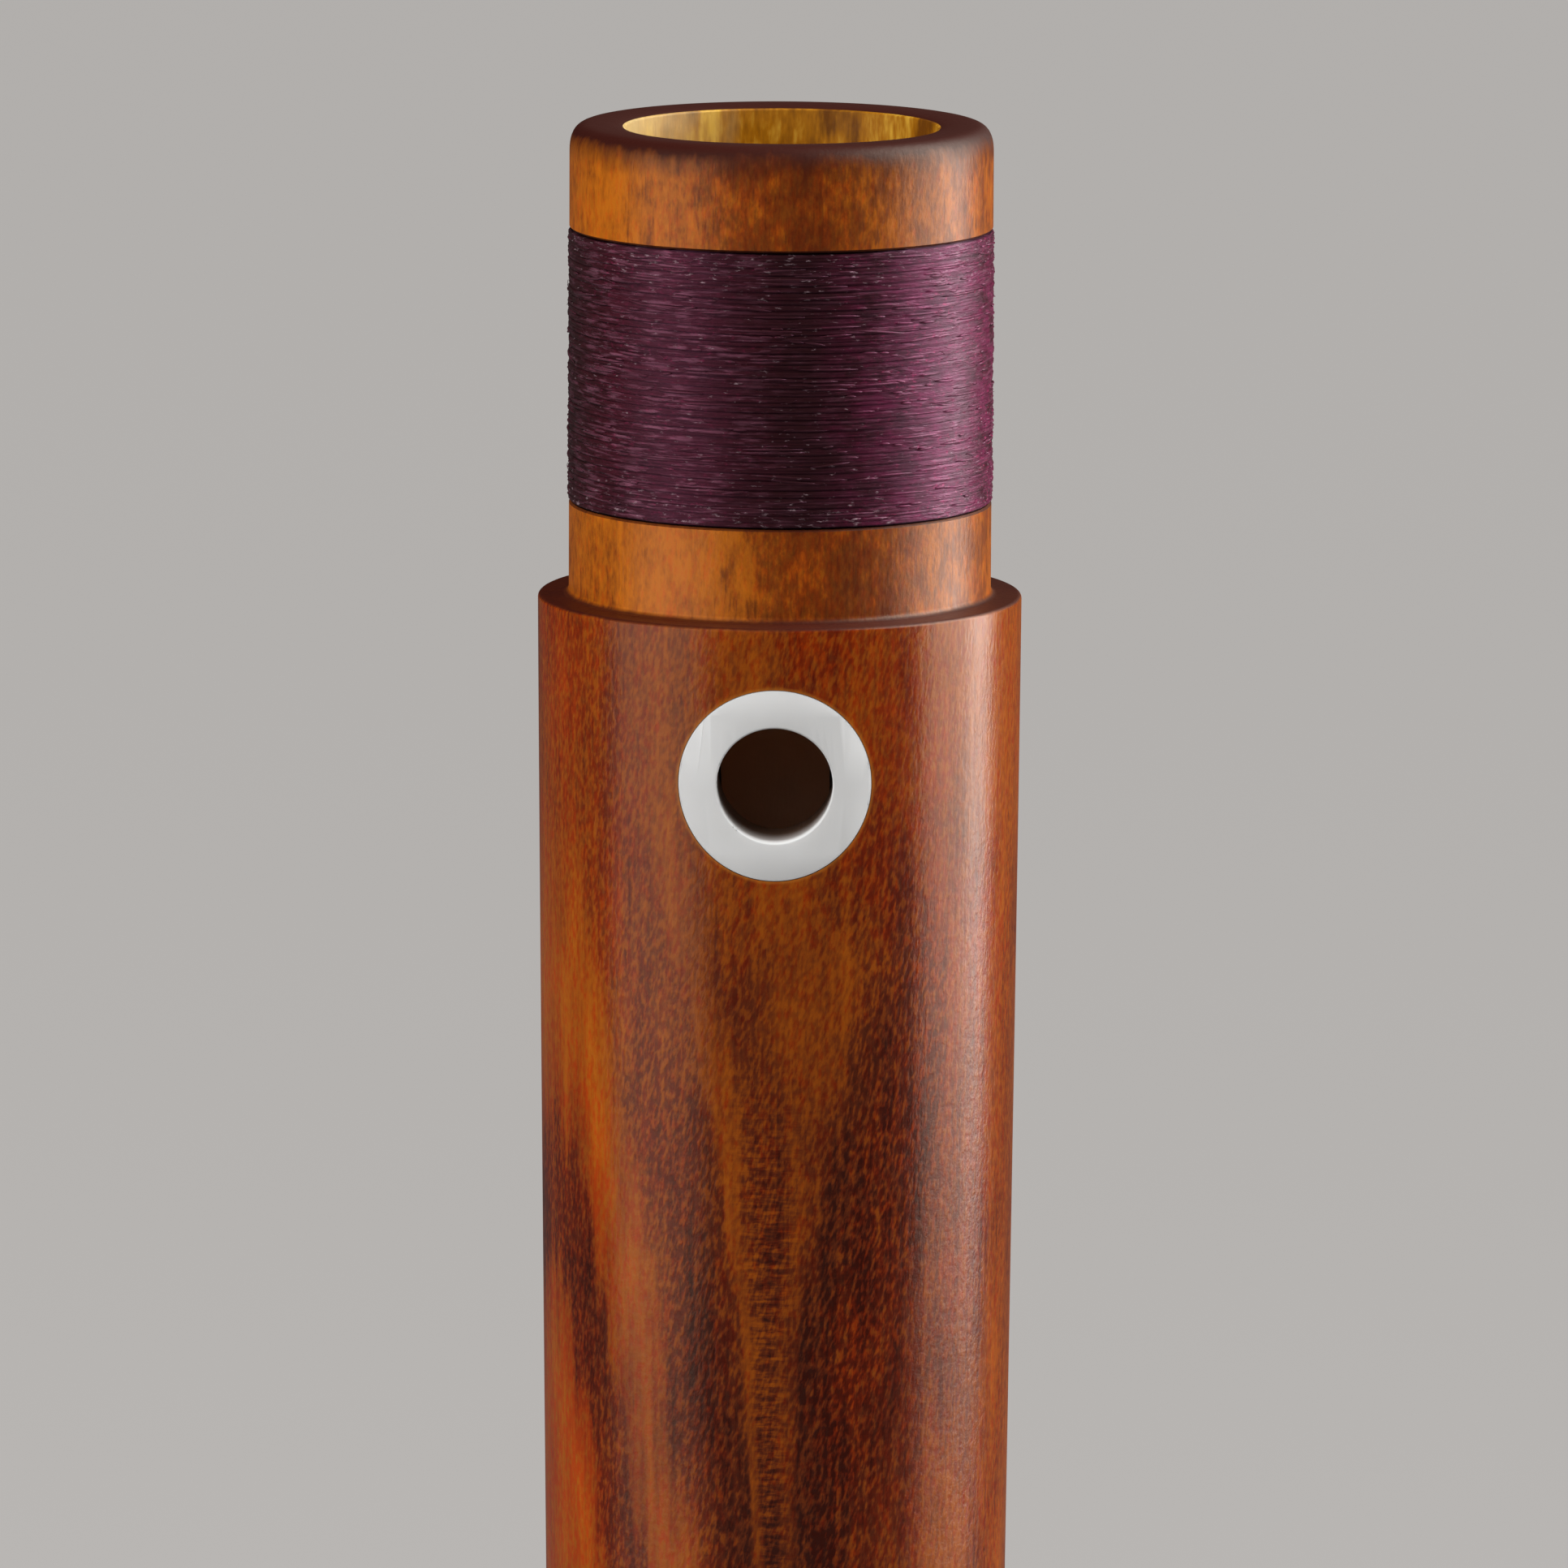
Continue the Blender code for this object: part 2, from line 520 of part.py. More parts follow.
def build_middle_joint(wood, plastic, thread):
    axis = axis_empty("middle_joint_axis", BODY_AXIS_X)
    body, drills = middle_body(wood)
    ring, wall = thumb_hole_bushing(plastic)
    thread_inner = UPPER_TENON_RADIUS + THREAD_STANDS_PROUD - THREAD_DIAMETER
    chord_dip = UPPER_TENON_RADIUS * (1 - math.cos(math.pi / THREAD_POINTS_PER_TURN))
    underlay = lapping_sleeve(
        "upper_lapping_underlay",
        UPPER_TENON_TOP - UPPER_LAPPING_START,
        UPPER_LAPPING_LENGTH,
        UPPER_TENON_RADIUS - UPPER_GROOVE_DEPTH + LAPPING_GAP,
        thread_inner - chord_dip - LAPPING_GAP,
        thread,
    )
    lower = lapping_sleeve(
        "lower_lapping",
        LOWER_SHOULDER - LOWER_LAPPING_START,
        LOWER_LAPPING_LENGTH,
        LOWER_TENON_RADIUS - LOWER_GROOVE_DEPTH + LAPPING_GAP,
        LOWER_TENON_RADIUS + LOWER_LAPPING_STANDS_PROUD,
        thread,
    )
    carry(axis, [body, ring, wall, underlay, upper_lapping_thread(thread), lower, *drills])


# Foot joint

def build_foot_joint(wood):
    """The foot turns about this axis on the lower tenon."""
    axis = axis_empty("foot_joint_axis", BODY_AXIS_X)
    foot = turned("foot_body", foot_outline(), wood)
    drills = []
    for name, drop, radius, turn in FOOT_HOLES:
        wall = FOOT_RADIUS_AT_HOLES - FOOT_BORE_TOP_RADIUS
        drills.append(hole_cutter(name, FOOT_LENGTH - drop, radius, turn, FOOT_RADIUS_AT_HOLES, wall))
    cut(foot, "foot_joint_drilling", drills)
    carry(axis, [foot, *drills])


# Head joint

def beak_cutter(name):
    """Everything behind the hollow back of the beak, from its start up past the tip."""
    start = (-HEAD_STEM_RADIUS - CUT_MARGIN, HEAD_LENGTH - BEAK_LENGTH - BEAK_RUN_IN)
    tip = (HEAD_TIP_RADIUS - BEAK_TIP_THICKNESS, HEAD_LENGTH + CUT_MARGIN)
    pull = (tip[0] - BEAK_HOLLOW_DEPTH, start[1] + BEAK_HOLLOW_HEIGHT)
    outline = sweep(start, pull, tip, 10)
    outline.append((start[0], tip[1]))
    half = HEAD_STEM_RADIUS + CUT_MARGIN
    rings = [[(x, y, z) for y, z in outline] for x in (-half, half)]
    return as_cutter(object_from(name, slab(rings), smooth=False))


def windway_roof_cutter():
    """The channel cut up into the wall, from the window to past the tip."""
    low, high = WINDOW_TOP - CUT_UP / 2, HEAD_LENGTH + CUT_MARGIN
    inside = HEAD_BORE_RADIUS - CUT_INTO_BORE
    outline = [(inside, low), (WINDWAY_ROOF_RADIUS, low), (WINDWAY_ROOF_RADIUS, high), (inside, high)]
    return arched_cutter("windway_roof", outline, WINDWAY_WIDTH)


def window_cutter():
    """The window through the wall and the ramp that thins the wall down to the labium's edge."""
    inside = HEAD_BORE_RADIUS - CUT_INTO_BORE
    outside = HEAD_STEM_RADIUS + CUT_MARGIN
    ramp_drop = (outside - LABIUM_EDGE_RADIUS) / math.tan(math.radians(RAMP_SLOPE))
    outline = [(inside, WINDOW_TOP), (outside, WINDOW_TOP), (outside, LABIUM_HEIGHT - ramp_drop)]
    outline += [(LABIUM_EDGE_RADIUS, LABIUM_HEIGHT), (inside, LABIUM_HEIGHT)]
    return arched_cutter("window_and_ramp", outline, WINDOW_WIDTH)


def block(finish):
    """The plug that fills the bore from the window up, with the windway's floor along its front."""
    radius = HEAD_BORE_RADIUS - BLOCK_GAP
    shape = bmesh.new()
    bmesh.ops.create_cone(
        shape,
        cap_ends=True,
        segments=TURNED_SEGMENTS,
        radius1=radius,
        radius2=radius,
        depth=WINDWAY_LENGTH,
        matrix=Matrix.Translation((0, 0, HEAD_LENGTH - WINDWAY_LENGTH / 2)),
    )
    return object_from("block", shape, finish)


def windway_floor_cutter():
    """Shaves the block's front for the windway and chamfers its edge at the window."""
    low, high = WINDOW_TOP - CUT_UP / 2, HEAD_LENGTH + CUT_MARGIN
    outside = HEAD_BORE_RADIUS + CUT_MARGIN
    chamfer_foot = WINDWAY_FLOOR_RADIUS - BLOCK_CHAMFER
    outline = [(chamfer_foot, low), (outside, low), (outside, high), (WINDWAY_FLOOR_RADIUS, high)]
    outline += [(WINDWAY_FLOOR_RADIUS, WINDOW_TOP + BLOCK_CHAMFER), (chamfer_foot, WINDOW_TOP)]
    return arched_cutter("windway_floor", outline, WINDWAY_WIDTH)


def build_head_joint(wood, cedar):
    """The head joint stands on its socket end and lifts straight up off the surface."""
    axis = axis_empty("head_joint_axis", HEAD_AXIS_X)
    head = turned("head_body", head_outline(), wood)
    head_cutters = [window_cutter(), windway_roof_cutter(), beak_cutter("beak_of_head")]
    cut(head, "head_joint_carving", head_cutters)
    plug = block(cedar)
    block_cutters = [windway_floor_cutter(), beak_cutter("beak_of_block")]
    cut(plug, "block_carving", block_cutters)
    carry(axis, [head, plug, *head_cutters, *block_cutters])


def main():
    for old in list(bpy.data.objects):
        bpy.data.objects.remove(old)
    wood = material("stained_pearwood", (0.34, 0.105, 0.025), 0.38)
    plastic = material("white_bushing", (0.62, 0.63, 0.62), 0.35)
    thread = material("waxed_purple_thread", (0.085, 0.018, 0.045), 0.6)
    cedar = material("cedar_block", (0.45, 0.23, 0.12), 0.65)
    build_middle_joint(wood, plastic, thread)
    build_foot_joint(wood)
    build_head_joint(wood, cedar)


main()
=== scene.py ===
import math
import random

import bpy
from mathutils import Matrix, Vector


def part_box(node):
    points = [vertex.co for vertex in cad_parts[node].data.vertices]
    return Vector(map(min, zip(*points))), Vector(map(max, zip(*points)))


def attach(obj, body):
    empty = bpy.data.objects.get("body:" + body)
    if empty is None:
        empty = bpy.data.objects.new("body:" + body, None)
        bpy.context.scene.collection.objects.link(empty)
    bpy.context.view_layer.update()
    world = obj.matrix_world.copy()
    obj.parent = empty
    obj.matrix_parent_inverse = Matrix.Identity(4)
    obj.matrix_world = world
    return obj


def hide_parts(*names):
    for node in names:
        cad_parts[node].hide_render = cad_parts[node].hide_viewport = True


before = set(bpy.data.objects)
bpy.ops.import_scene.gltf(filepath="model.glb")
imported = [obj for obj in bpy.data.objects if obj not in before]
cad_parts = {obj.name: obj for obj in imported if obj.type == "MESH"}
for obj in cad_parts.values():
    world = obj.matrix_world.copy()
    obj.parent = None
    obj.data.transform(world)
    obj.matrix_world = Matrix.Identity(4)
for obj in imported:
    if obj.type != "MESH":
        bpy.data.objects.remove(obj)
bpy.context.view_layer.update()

mm = 0.001
tenonLength = 27.7 * mm      # of the upper tenon, above its shoulder
footGap = 0.3 * mm           # between the lower shoulder and the foot joint
overshoot = 4 * mm           # how far a cutter reaches past what it cuts

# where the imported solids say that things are
middleLow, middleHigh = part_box("middle_body")
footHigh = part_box("foot_body")[1]
headLow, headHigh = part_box("head_body")
bushingLow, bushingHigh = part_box("thumb_hole_bushing")
upperLapLow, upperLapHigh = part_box("upper_lapping_underlay")
lowerLapLow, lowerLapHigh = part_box("lower_lapping")
bodyAxisX = (middleLow.x + middleHigh.x) / 2
headAxisX = (headLow.x + headHigh.x) / 2
tenonTop = middleHigh.z
upperShoulder = tenonTop - tenonLength
holeHeight = (bushingLow.z + bushingHigh.z) / 2
lowerShoulder = footHigh.z + footGap
print("frame loaded, body axis at", round(bodyAxisX, 4), "head axis at", round(headAxisX, 4))


# small helpers for modelling by hand

def setMode(mode):
    bpy.ops.object.mode_set(mode=mode)


def deselectAll():
    if bpy.context.mode != "OBJECT":
        setMode("OBJECT")
    bpy.ops.object.select_all(action="DESELECT")


def takeUp(piece):
    deselectAll()
    piece.select_set(True)
    bpy.context.view_layer.objects.active = piece


def arc(centre, radius, start, end, steps):
    turns = [math.radians(start + (end - start) * i / steps) for i in range(steps + 1)]
    return [(centre[0] + radius * math.cos(t), centre[1] + radius * math.sin(t)) for t in turns]


def sweep(start, pull, end, steps):
    points = []
    for i in range(steps + 1):
        t = i / steps
        weights = ((1 - t) ** 2, 2 * t * (1 - t), t * t)
        points.append(tuple(sum(w * p[k] for w, p in zip(weights, (start, pull, end))) for k in (0, 1)))
    return points


def straight(start, end, step):
    # points between two ends, about a step apart, without the first
    count = max(1, round(math.dist(start, end) / step))
    return [tuple(a + (b - a) * i / count for a, b in zip(start, end)) for i in range(1, count + 1)]


def weld(millimetres):
    bpy.ops.mesh.select_all(action="SELECT")
    bpy.ops.mesh.remove_doubles(threshold=millimetres * mm)


def drawLine(name, places):
    # one vertex, extruded from place to place and closed; left in edit mode
    deselectAll()
    bpy.ops.mesh.primitive_plane_add(size=mm)
    piece = bpy.context.object
    piece.name = piece.data.name = name
    setMode("EDIT")
    bpy.ops.mesh.select_mode(type="VERT")
    bpy.ops.mesh.select_all(action="SELECT")
    bpy.ops.mesh.merge(type="CENTER")
    bpy.ops.transform.translate(value=places[0])
    for here, there in zip(places, places[1:] + places[:1]):
        bpy.ops.mesh.extrude_region_move(TRANSFORM_OT_translate={"value": there - here})
    weld(0.004)
    return piece


def closeMesh():
    # normals outwards, and back to object mode
    bpy.ops.mesh.select_all(action="SELECT")
    bpy.ops.mesh.normals_make_consistent(inside=False)
    setMode("OBJECT")


def spinOutline(name, outline, axisX, steps, angle=math.tau, turnFrom=0.0):
    # the outline spun round the bore
    aim = (math.cos(turnFrom), math.sin(turnFrom))
    piece = drawLine(name, [Vector((axisX + r * aim[0], r * aim[1], z)) for r, z in outline])
    bpy.ops.mesh.spin(steps=steps, angle=angle, center=(axisX, 0, 0), axis=(0, 0, 1))
    weld(0.004)
    closeMesh()
    return piece


def addObject(name, data):
    made = bpy.data.objects.new(name, data)
    bpy.context.scene.collection.objects.link(made)
    return made


def placeInMesh(piece):
    takeUp(piece)
    bpy.ops.object.transform_apply(location=True, rotation=True, scale=True)


def boolean(piece, cutter, operation="DIFFERENCE"):
    takeUp(piece)
    modifier = piece.modifiers.new("cut", "BOOLEAN")
    modifier.operation = operation
    modifier.solver = "EXACT"
    modifier.object = cutter
    bpy.ops.object.modifier_apply(modifier=modifier.name)
    bpy.data.objects.remove(cutter)
    setMode("EDIT")
    bpy.ops.mesh.select_mode(type="VERT")
    weld(0.002)
    setMode("OBJECT")


def finishSmooth(piece, degrees=32):
    takeUp(piece)
    bpy.ops.object.shade_smooth_by_angle(angle=math.radians(degrees))


def dress(piece, material):
    piece.data.materials.clear()
    piece.data.materials.append(material)


def drill(axisX, height, radius, turn, outside, wall):
    # tone hole drill: undercut towards the bore, with a broken edge at the outside
    flare, sides = middle["holeEdge"], middle["holeSides"]
    inner = outside - wall - overshoot
    depth = outside + overshoot - inner
    slope = middle["undercut"] / wall
    deselectAll()
    bpy.ops.mesh.primitive_cone_add(vertices=sides, radius1=radius + slope * (outside - inner),
                                    radius2=radius - slope * overshoot, depth=depth)
    cutter = bpy.context.object
    cutter.rotation_euler = (-math.pi / 2, 0, 0)
    cutter.location = (0, inner + depth / 2, 0)
    placeInMesh(cutter)
    bpy.ops.mesh.primitive_cone_add(vertices=sides, radius1=radius, radius2=radius + 2 * flare,
                                    depth=2 * flare)
    edge = bpy.context.object
    edge.rotation_euler = (-math.pi / 2, 0, 0)
    edge.location = (0, outside, 0)
    placeInMesh(edge)
    boolean(cutter, edge, "UNION")
    cutter.rotation_euler = (0, 0, math.radians(turn))
    cutter.location = (axisX, 0, height)
    placeInMesh(cutter)
    return cutter


# small helpers for materials

def newMaterial(name):
    material = bpy.data.materials.new(name)
    material.use_nodes = True
    tree = material.node_tree
    return material, tree, tree.nodes["Principled BSDF"]


def feed(node, inputs):
    # each input is set to a value, or linked where it is given a socket
    for key, value in inputs.items():
        if isinstance(value, bpy.types.NodeSocket):
            node.id_data.links.new(value, node.inputs[key])
        else:
            node.inputs[key].default_value = value


def put(kind, inputs, **settings):
    # a node in the tree of the sockets that it is given
    tree = next(value.id_data for value in inputs.values() if isinstance(value, bpy.types.NodeSocket))
    node = tree.nodes.new(kind)
    for key, value in settings.items():
        setattr(node, key, value)
    feed(node, inputs)
    return node


def sums(operation, first, second=0.0, third=0.0):
    return put("ShaderNodeMath", {0: first, 1: second, 2: third}, operation=operation).outputs[0]


def plus(first, *others):
    for other in others:
        first = sums("ADD", first, other)
    return first


def minus(first, second):
    return sums("SUBTRACT", first, second)


def times(first, second):
    return sums("MULTIPLY", first, second)


def over(first, second):
    return sums("DIVIDE", first, second)


def timesPlus(first, second, third):
    return sums("MULTIPLY_ADD", first, second, third)


def apart(first, second):
    # the hypotenuse of two lengths
    return sums("SQRT", plus(times(first, first), times(second, second)))


def ramp(value, stops, interpolation="LINEAR"):
    # stops are (position, colour or grey)
    stops = list(stops)
    node = put("ShaderNodeValToRGB", {0: value})
    node.color_ramp.interpolation = interpolation
    elements = node.color_ramp.elements
    while len(elements) < len(stops):
        elements.new(0.5)
    for element, (position, colour) in zip(elements, stops):
        element.position = position
        element.color = (*colour, 1) if isinstance(colour, tuple) else (colour, colour, colour, 1)
    return node.outputs[0]


def rise(value, start, end, high=1.0):
    return ramp(value, [(start, 0.0), (end, high)])


def blend(factor, first, second, mode="MIX"):
    first, second = ((*value, 1) if isinstance(value, tuple) else value for value in (first, second))
    node = put("ShaderNodeMix", {0: factor, 6: first, 7: second}, data_type="RGBA", blend_type=mode)
    return node.outputs[2]


def vectors(operation, inputs):
    return put("ShaderNodeVectorMath", inputs, operation=operation).outputs[0]


def coordinates(tree, axisX):
    # millimetres from the bore's axis, on Object coordinates
    source = tree.nodes.new("ShaderNodeTexCoord")
    centred = vectors("SUBTRACT", {0: source.outputs["Object"], 1: (axisX, 0, 0)})
    place = vectors("SCALE", {0: centred, "Scale": 1 / mm})
    return place, put("ShaderNodeSeparateXYZ", {0: place}).outputs, source.outputs["Normal"]


def noise(place, stretch, detail, roughness, offset, strength=None):
    # with a strength, the noise is centred on 0
    inputs = {"Vector": place, "Scale": stretch, "Location": (offset, offset, offset)}
    mapped = put("ShaderNodeMapping", inputs).outputs[0]
    inputs = {"Vector": mapped, "Scale": 1.0, "Detail": detail, "Roughness": roughness}
    value = put("ShaderNodeTexNoise", inputs).outputs[0]
    return times(minus(value, 0.5), strength) if strength else value


def bumped(height, strength, depth):
    return put("ShaderNodeBump", {"Strength": strength, "Distance": depth, "Height": height}).outputs[0]


# the reddish hardwood that all three joints are turned from, with lengths in millimetres
wood = {
    "darkest": (0.038, 0.0050, 0.0028), "dark": (0.125, 0.0160, 0.0038), "middle": (0.285, 0.0440, 0.0030),
    "orange": (0.420, 0.0740, 0.0030), "brightest": (0.550, 0.1150, 0.0060),
    "tenon": ((0.12, 0.021, 0.003), (0.22, 0.042, 0.003), (0.38, 0.080, 0.003), (0.53, 0.118, 0.004)),
    # the first colour on the next line is the dark of end grain, and also painted shade on the rim and on
    # faces that point up or down
    "endGrainAndShadeColour": (0.038, 0.0062, 0.0040), "paintedLipGlow": (0.60, 0.22, 0.03), "lipReach": 0.26,
    "bore": ((0.13, 0.040, 0.002), (0.34, 0.130, 0.003), (0.62, 0.36, 0.04)), "boreDeep": (0.62, 0.40, 0.28),
    # the first colour on the next line is a painted highlight in the bore
    "borePaintedHighlight": (0.70, 0.51, 0.21), "mouthHeight": 27.5, "boreSide": 9.0,
    "redder": (1.03, 0.68, 0.50), "golden": (0.97, 1.32, 1.40),
    "lean": (1.0, 0.3, 0.144), "firstLayer": -24.0, "layers": 38.0, "fleckLean": math.radians(-16),
    "bendLength": 120.0, "bendDepth": 12.8, "bendLevel": 8.96, "upperPart": 40.0, "rimDarkAndShade": 2.2,
    "never": 900.0, "roughness": 0.23, "specular": 0.46, "specularTint": (1.0, 0.83, 0.66),
}
# tone of the growth layers, from 0 dark to 1 light, by their place through the billet
growthLayers = (
    (0, 0.62), (2.7, 0.78), (3.6, 0.62), (4.1, 0.34), (4.9, 0.36), (5.6, 0.62), (6.4, 0.80), (7.0, 0.60),
    (7.8, 0.34), (9.5, 0.26), (11.4, 0.30), (12.1, 0.52), (12.8, 0.50), (13.4, 0.36), (14.8, 0.36),
    (15.8, 0.47), (17.2, 0.44), (18.5, 0.28), (21.5, 0.20), (23.5, 0.26), (25.5, 0.42), (29, 0.5),
    (33, 0.54), (38, 0.58))
# the same on the tenon, which is plainer
tenonLayers = (
    (0, 0.5), (10, 0.55), (12.5, 0.74), (15.5, 0.86), (18, 0.62), (21, 0.34), (24.5, 0.16), (27, 0.23),
    (29, 0.34), (31, 0.54), (34, 0.46), (38, 0.45))
# how much more golden the colour is there
goldenLayers = (
    (0, 0.04), (4.5, 0.0), (6.4, 0.10), (9.5, 0.02), (12.3, 0.17), (15, 0.15), (18.5, 0.15), (21.5, 0.0),
    (27, 0.02), (31, 0.16), (38, 0.18))
# and how much of the cross ripples shows
rippleLayers = ((12.0, 0.0), (13.6, 1.0), (15.0, 1.0), (17.4, 0.15), (24, 0.1))
# patterns: stretch, detail, roughness, offset and, where they are centred, strength
fleckNoise = ((4.3, 4.3, 1.5), 2.0, 0.5, 3.0)
rimNoise = ((0.9, 0.9, 0.2), 3.0, 0.6, 5.0, 1.4)
woodNoise = {
    "slowBend": ((0.08, 0.08, 0.018), 2.0, 0.55, 0.0, 5.0), "calm": ((0.1, 0.1, 0.03), 3.0, 0.55, 0.0, 14.0),
    "fineBend": ((1.1, 1.1, 0.1), 3.0, 0.55, 0.0, 1.6), "fibre": ((2.4, 2.4, 0.07), 4.0, 0.6, 0.0),
    "pore": ((5.0, 5.0, 0.55), 2.0, 0.5, 4.0), "cloud": ((0.2, 0.2, 0.06), 3.0, 0.6, 7.0, 0.85),
    "grit": ((2.2, 2.2, 2.6), 3.0, 0.6, 15.0, 0.22), "plainGrit": ((4.0, 4.0, 1.6), 3.0, 0.6, 13.0, 0.36),
    "mottle": ((0.7, 0.7, 0.45), 5.0, 0.66, 2.0), "plainSpot": ((1.7, 1.7, 0.8), 3.0, 0.6, 29.0, 0.30),
    "hue": ((3.2, 3.2, 1.3), 3.0, 0.6, 27.0), "hueDrift": ((0.3, 0.3, 0.1), 3.0, 0.6, 33.0, 0.45),
    "ripple": ((0.75, 0.75, 3.8), 3.0, 0.6, 11.0), "darkEndsNoise": ((0.5, 0.5, 0.5), 3.0, 0.6, 1.0, 0.3),
    "oil": ((0.35, 0.35, 0.16), 4.0, 0.65, 9.0), "oilStreak": ((3.0, 3.0, 0.5), 3.0, 0.55, 0.0, 0.28),
    "boreHighlightSpread": ((0.5, 0.5, 0.2), 3.0, 0.6, 19.0, 0.7), "gloss": ((4.0, 4.0, 0.45), 3.0, 0.6, 4.0),
    "dimple": ((2.4, 2.4, 2.8), 3.0, 0.6, 23.0, 0.8),
}


def byLayer(layer, table, interpolation="LINEAR"):
    return ramp(layer, [(at / wood["layers"], value) for at, value in table], interpolation)


def growthLayer(grain, pattern, x, height):
    # on one side the layers lean the other way for a while, so that the figure closes to a point
    through = put("ShaderNodeVectorMath", {0: grain, 1: wood["lean"]}, operation="DOT_PRODUCT").outputs[1]
    through = plus(through, pattern["slowBend"], pattern["fineBend"])
    sideways = ramp(timesPlus(x, 0.05, 0.5), [(0.40, 0.0), (0.70, 1.0)], "EASE")
    bend = ramp(over(height, -wood["bendLength"]),
                [(0.07, 0.7), (0.17, 1.0), (0.27, 0.7), (0.50, 0.0), (0.92, 0.7)])
    bend = times(timesPlus(bend, -wood["bendDepth"], wood["bendLevel"]), sideways)
    through = minus(plus(through, bend), wood["firstLayer"])
    return over(sums("PINGPONG", through, wood["layers"]), wood["layers"])


def figuredTone(pattern, height, layer, fleck, pore):
    # the layers with dark clouds, long fibres, short slanted flecks, cross ripples and pores
    figure = byLayer(layer, growthLayers, "EASE")
    calm = ramp(over(plus(height, pattern["calm"]), -wood["upperPart"]), [(0.32, 0.30), (0.80, 1.0)])
    tone = timesPlus(minus(figure, 0.50), calm, 0.50)
    lift = times(minus(fleck, 0.42), times(minus(0.75, tone), 0.60))
    lower = rise(over(height, -wood["upperPart"]), 0.58, 0.92)
    ripple = rise(pattern["ripple"], 0.40, 0.62)
    rippled = times(byLayer(layer, rippleLayers), lower)
    ripple = times(minus(ripple, 0.55), times(rippled, 0.30))
    return plus(tone, pattern["cloud"], lift, ripple, pattern["grit"], times(lower, -0.09),
                times(minus(pattern["fibre"], 0.5), 0.40), times(pore, -0.07))


def plainTone(pattern, layer, pore):
    # turned surfaces that the stain hardly reached are plainer and lighter
    layered = timesPlus(byLayer(layer, tenonLayers, "EASE"), 0.42, -0.09)
    return plus(times(pattern["fibre"], 0.20), times(pattern["mottle"], 0.62), layered, pattern["plainGrit"],
                times(pore, -0.08), pattern["plainSpot"])


def boreColour(pattern, x, height):
    # the bore is oiled, and yellower than the outside, most of all at its mouth; towards its left wall it is
    # painted paler, a painted highlight where the lamps on the right shine in
    colour = ramp(plus(pattern["oil"], pattern["oilStreak"]), zip((0.34, 0.5, 0.66), wood["bore"]))
    deep = over(minus(wood["mouthHeight"], height), wood["upperPart"])
    colour = blend(rise(deep, 0.15, 0.8), colour, wood["boreDeep"])
    # painted highlight: paler towards the left wall of the bore
    pale = plus(over(x, -wood["boreSide"]), pattern["boreHighlightSpread"])
    return blend(rise(pale, 0.35, 1.0, 0.75), colour, wood["borePaintedHighlight"])


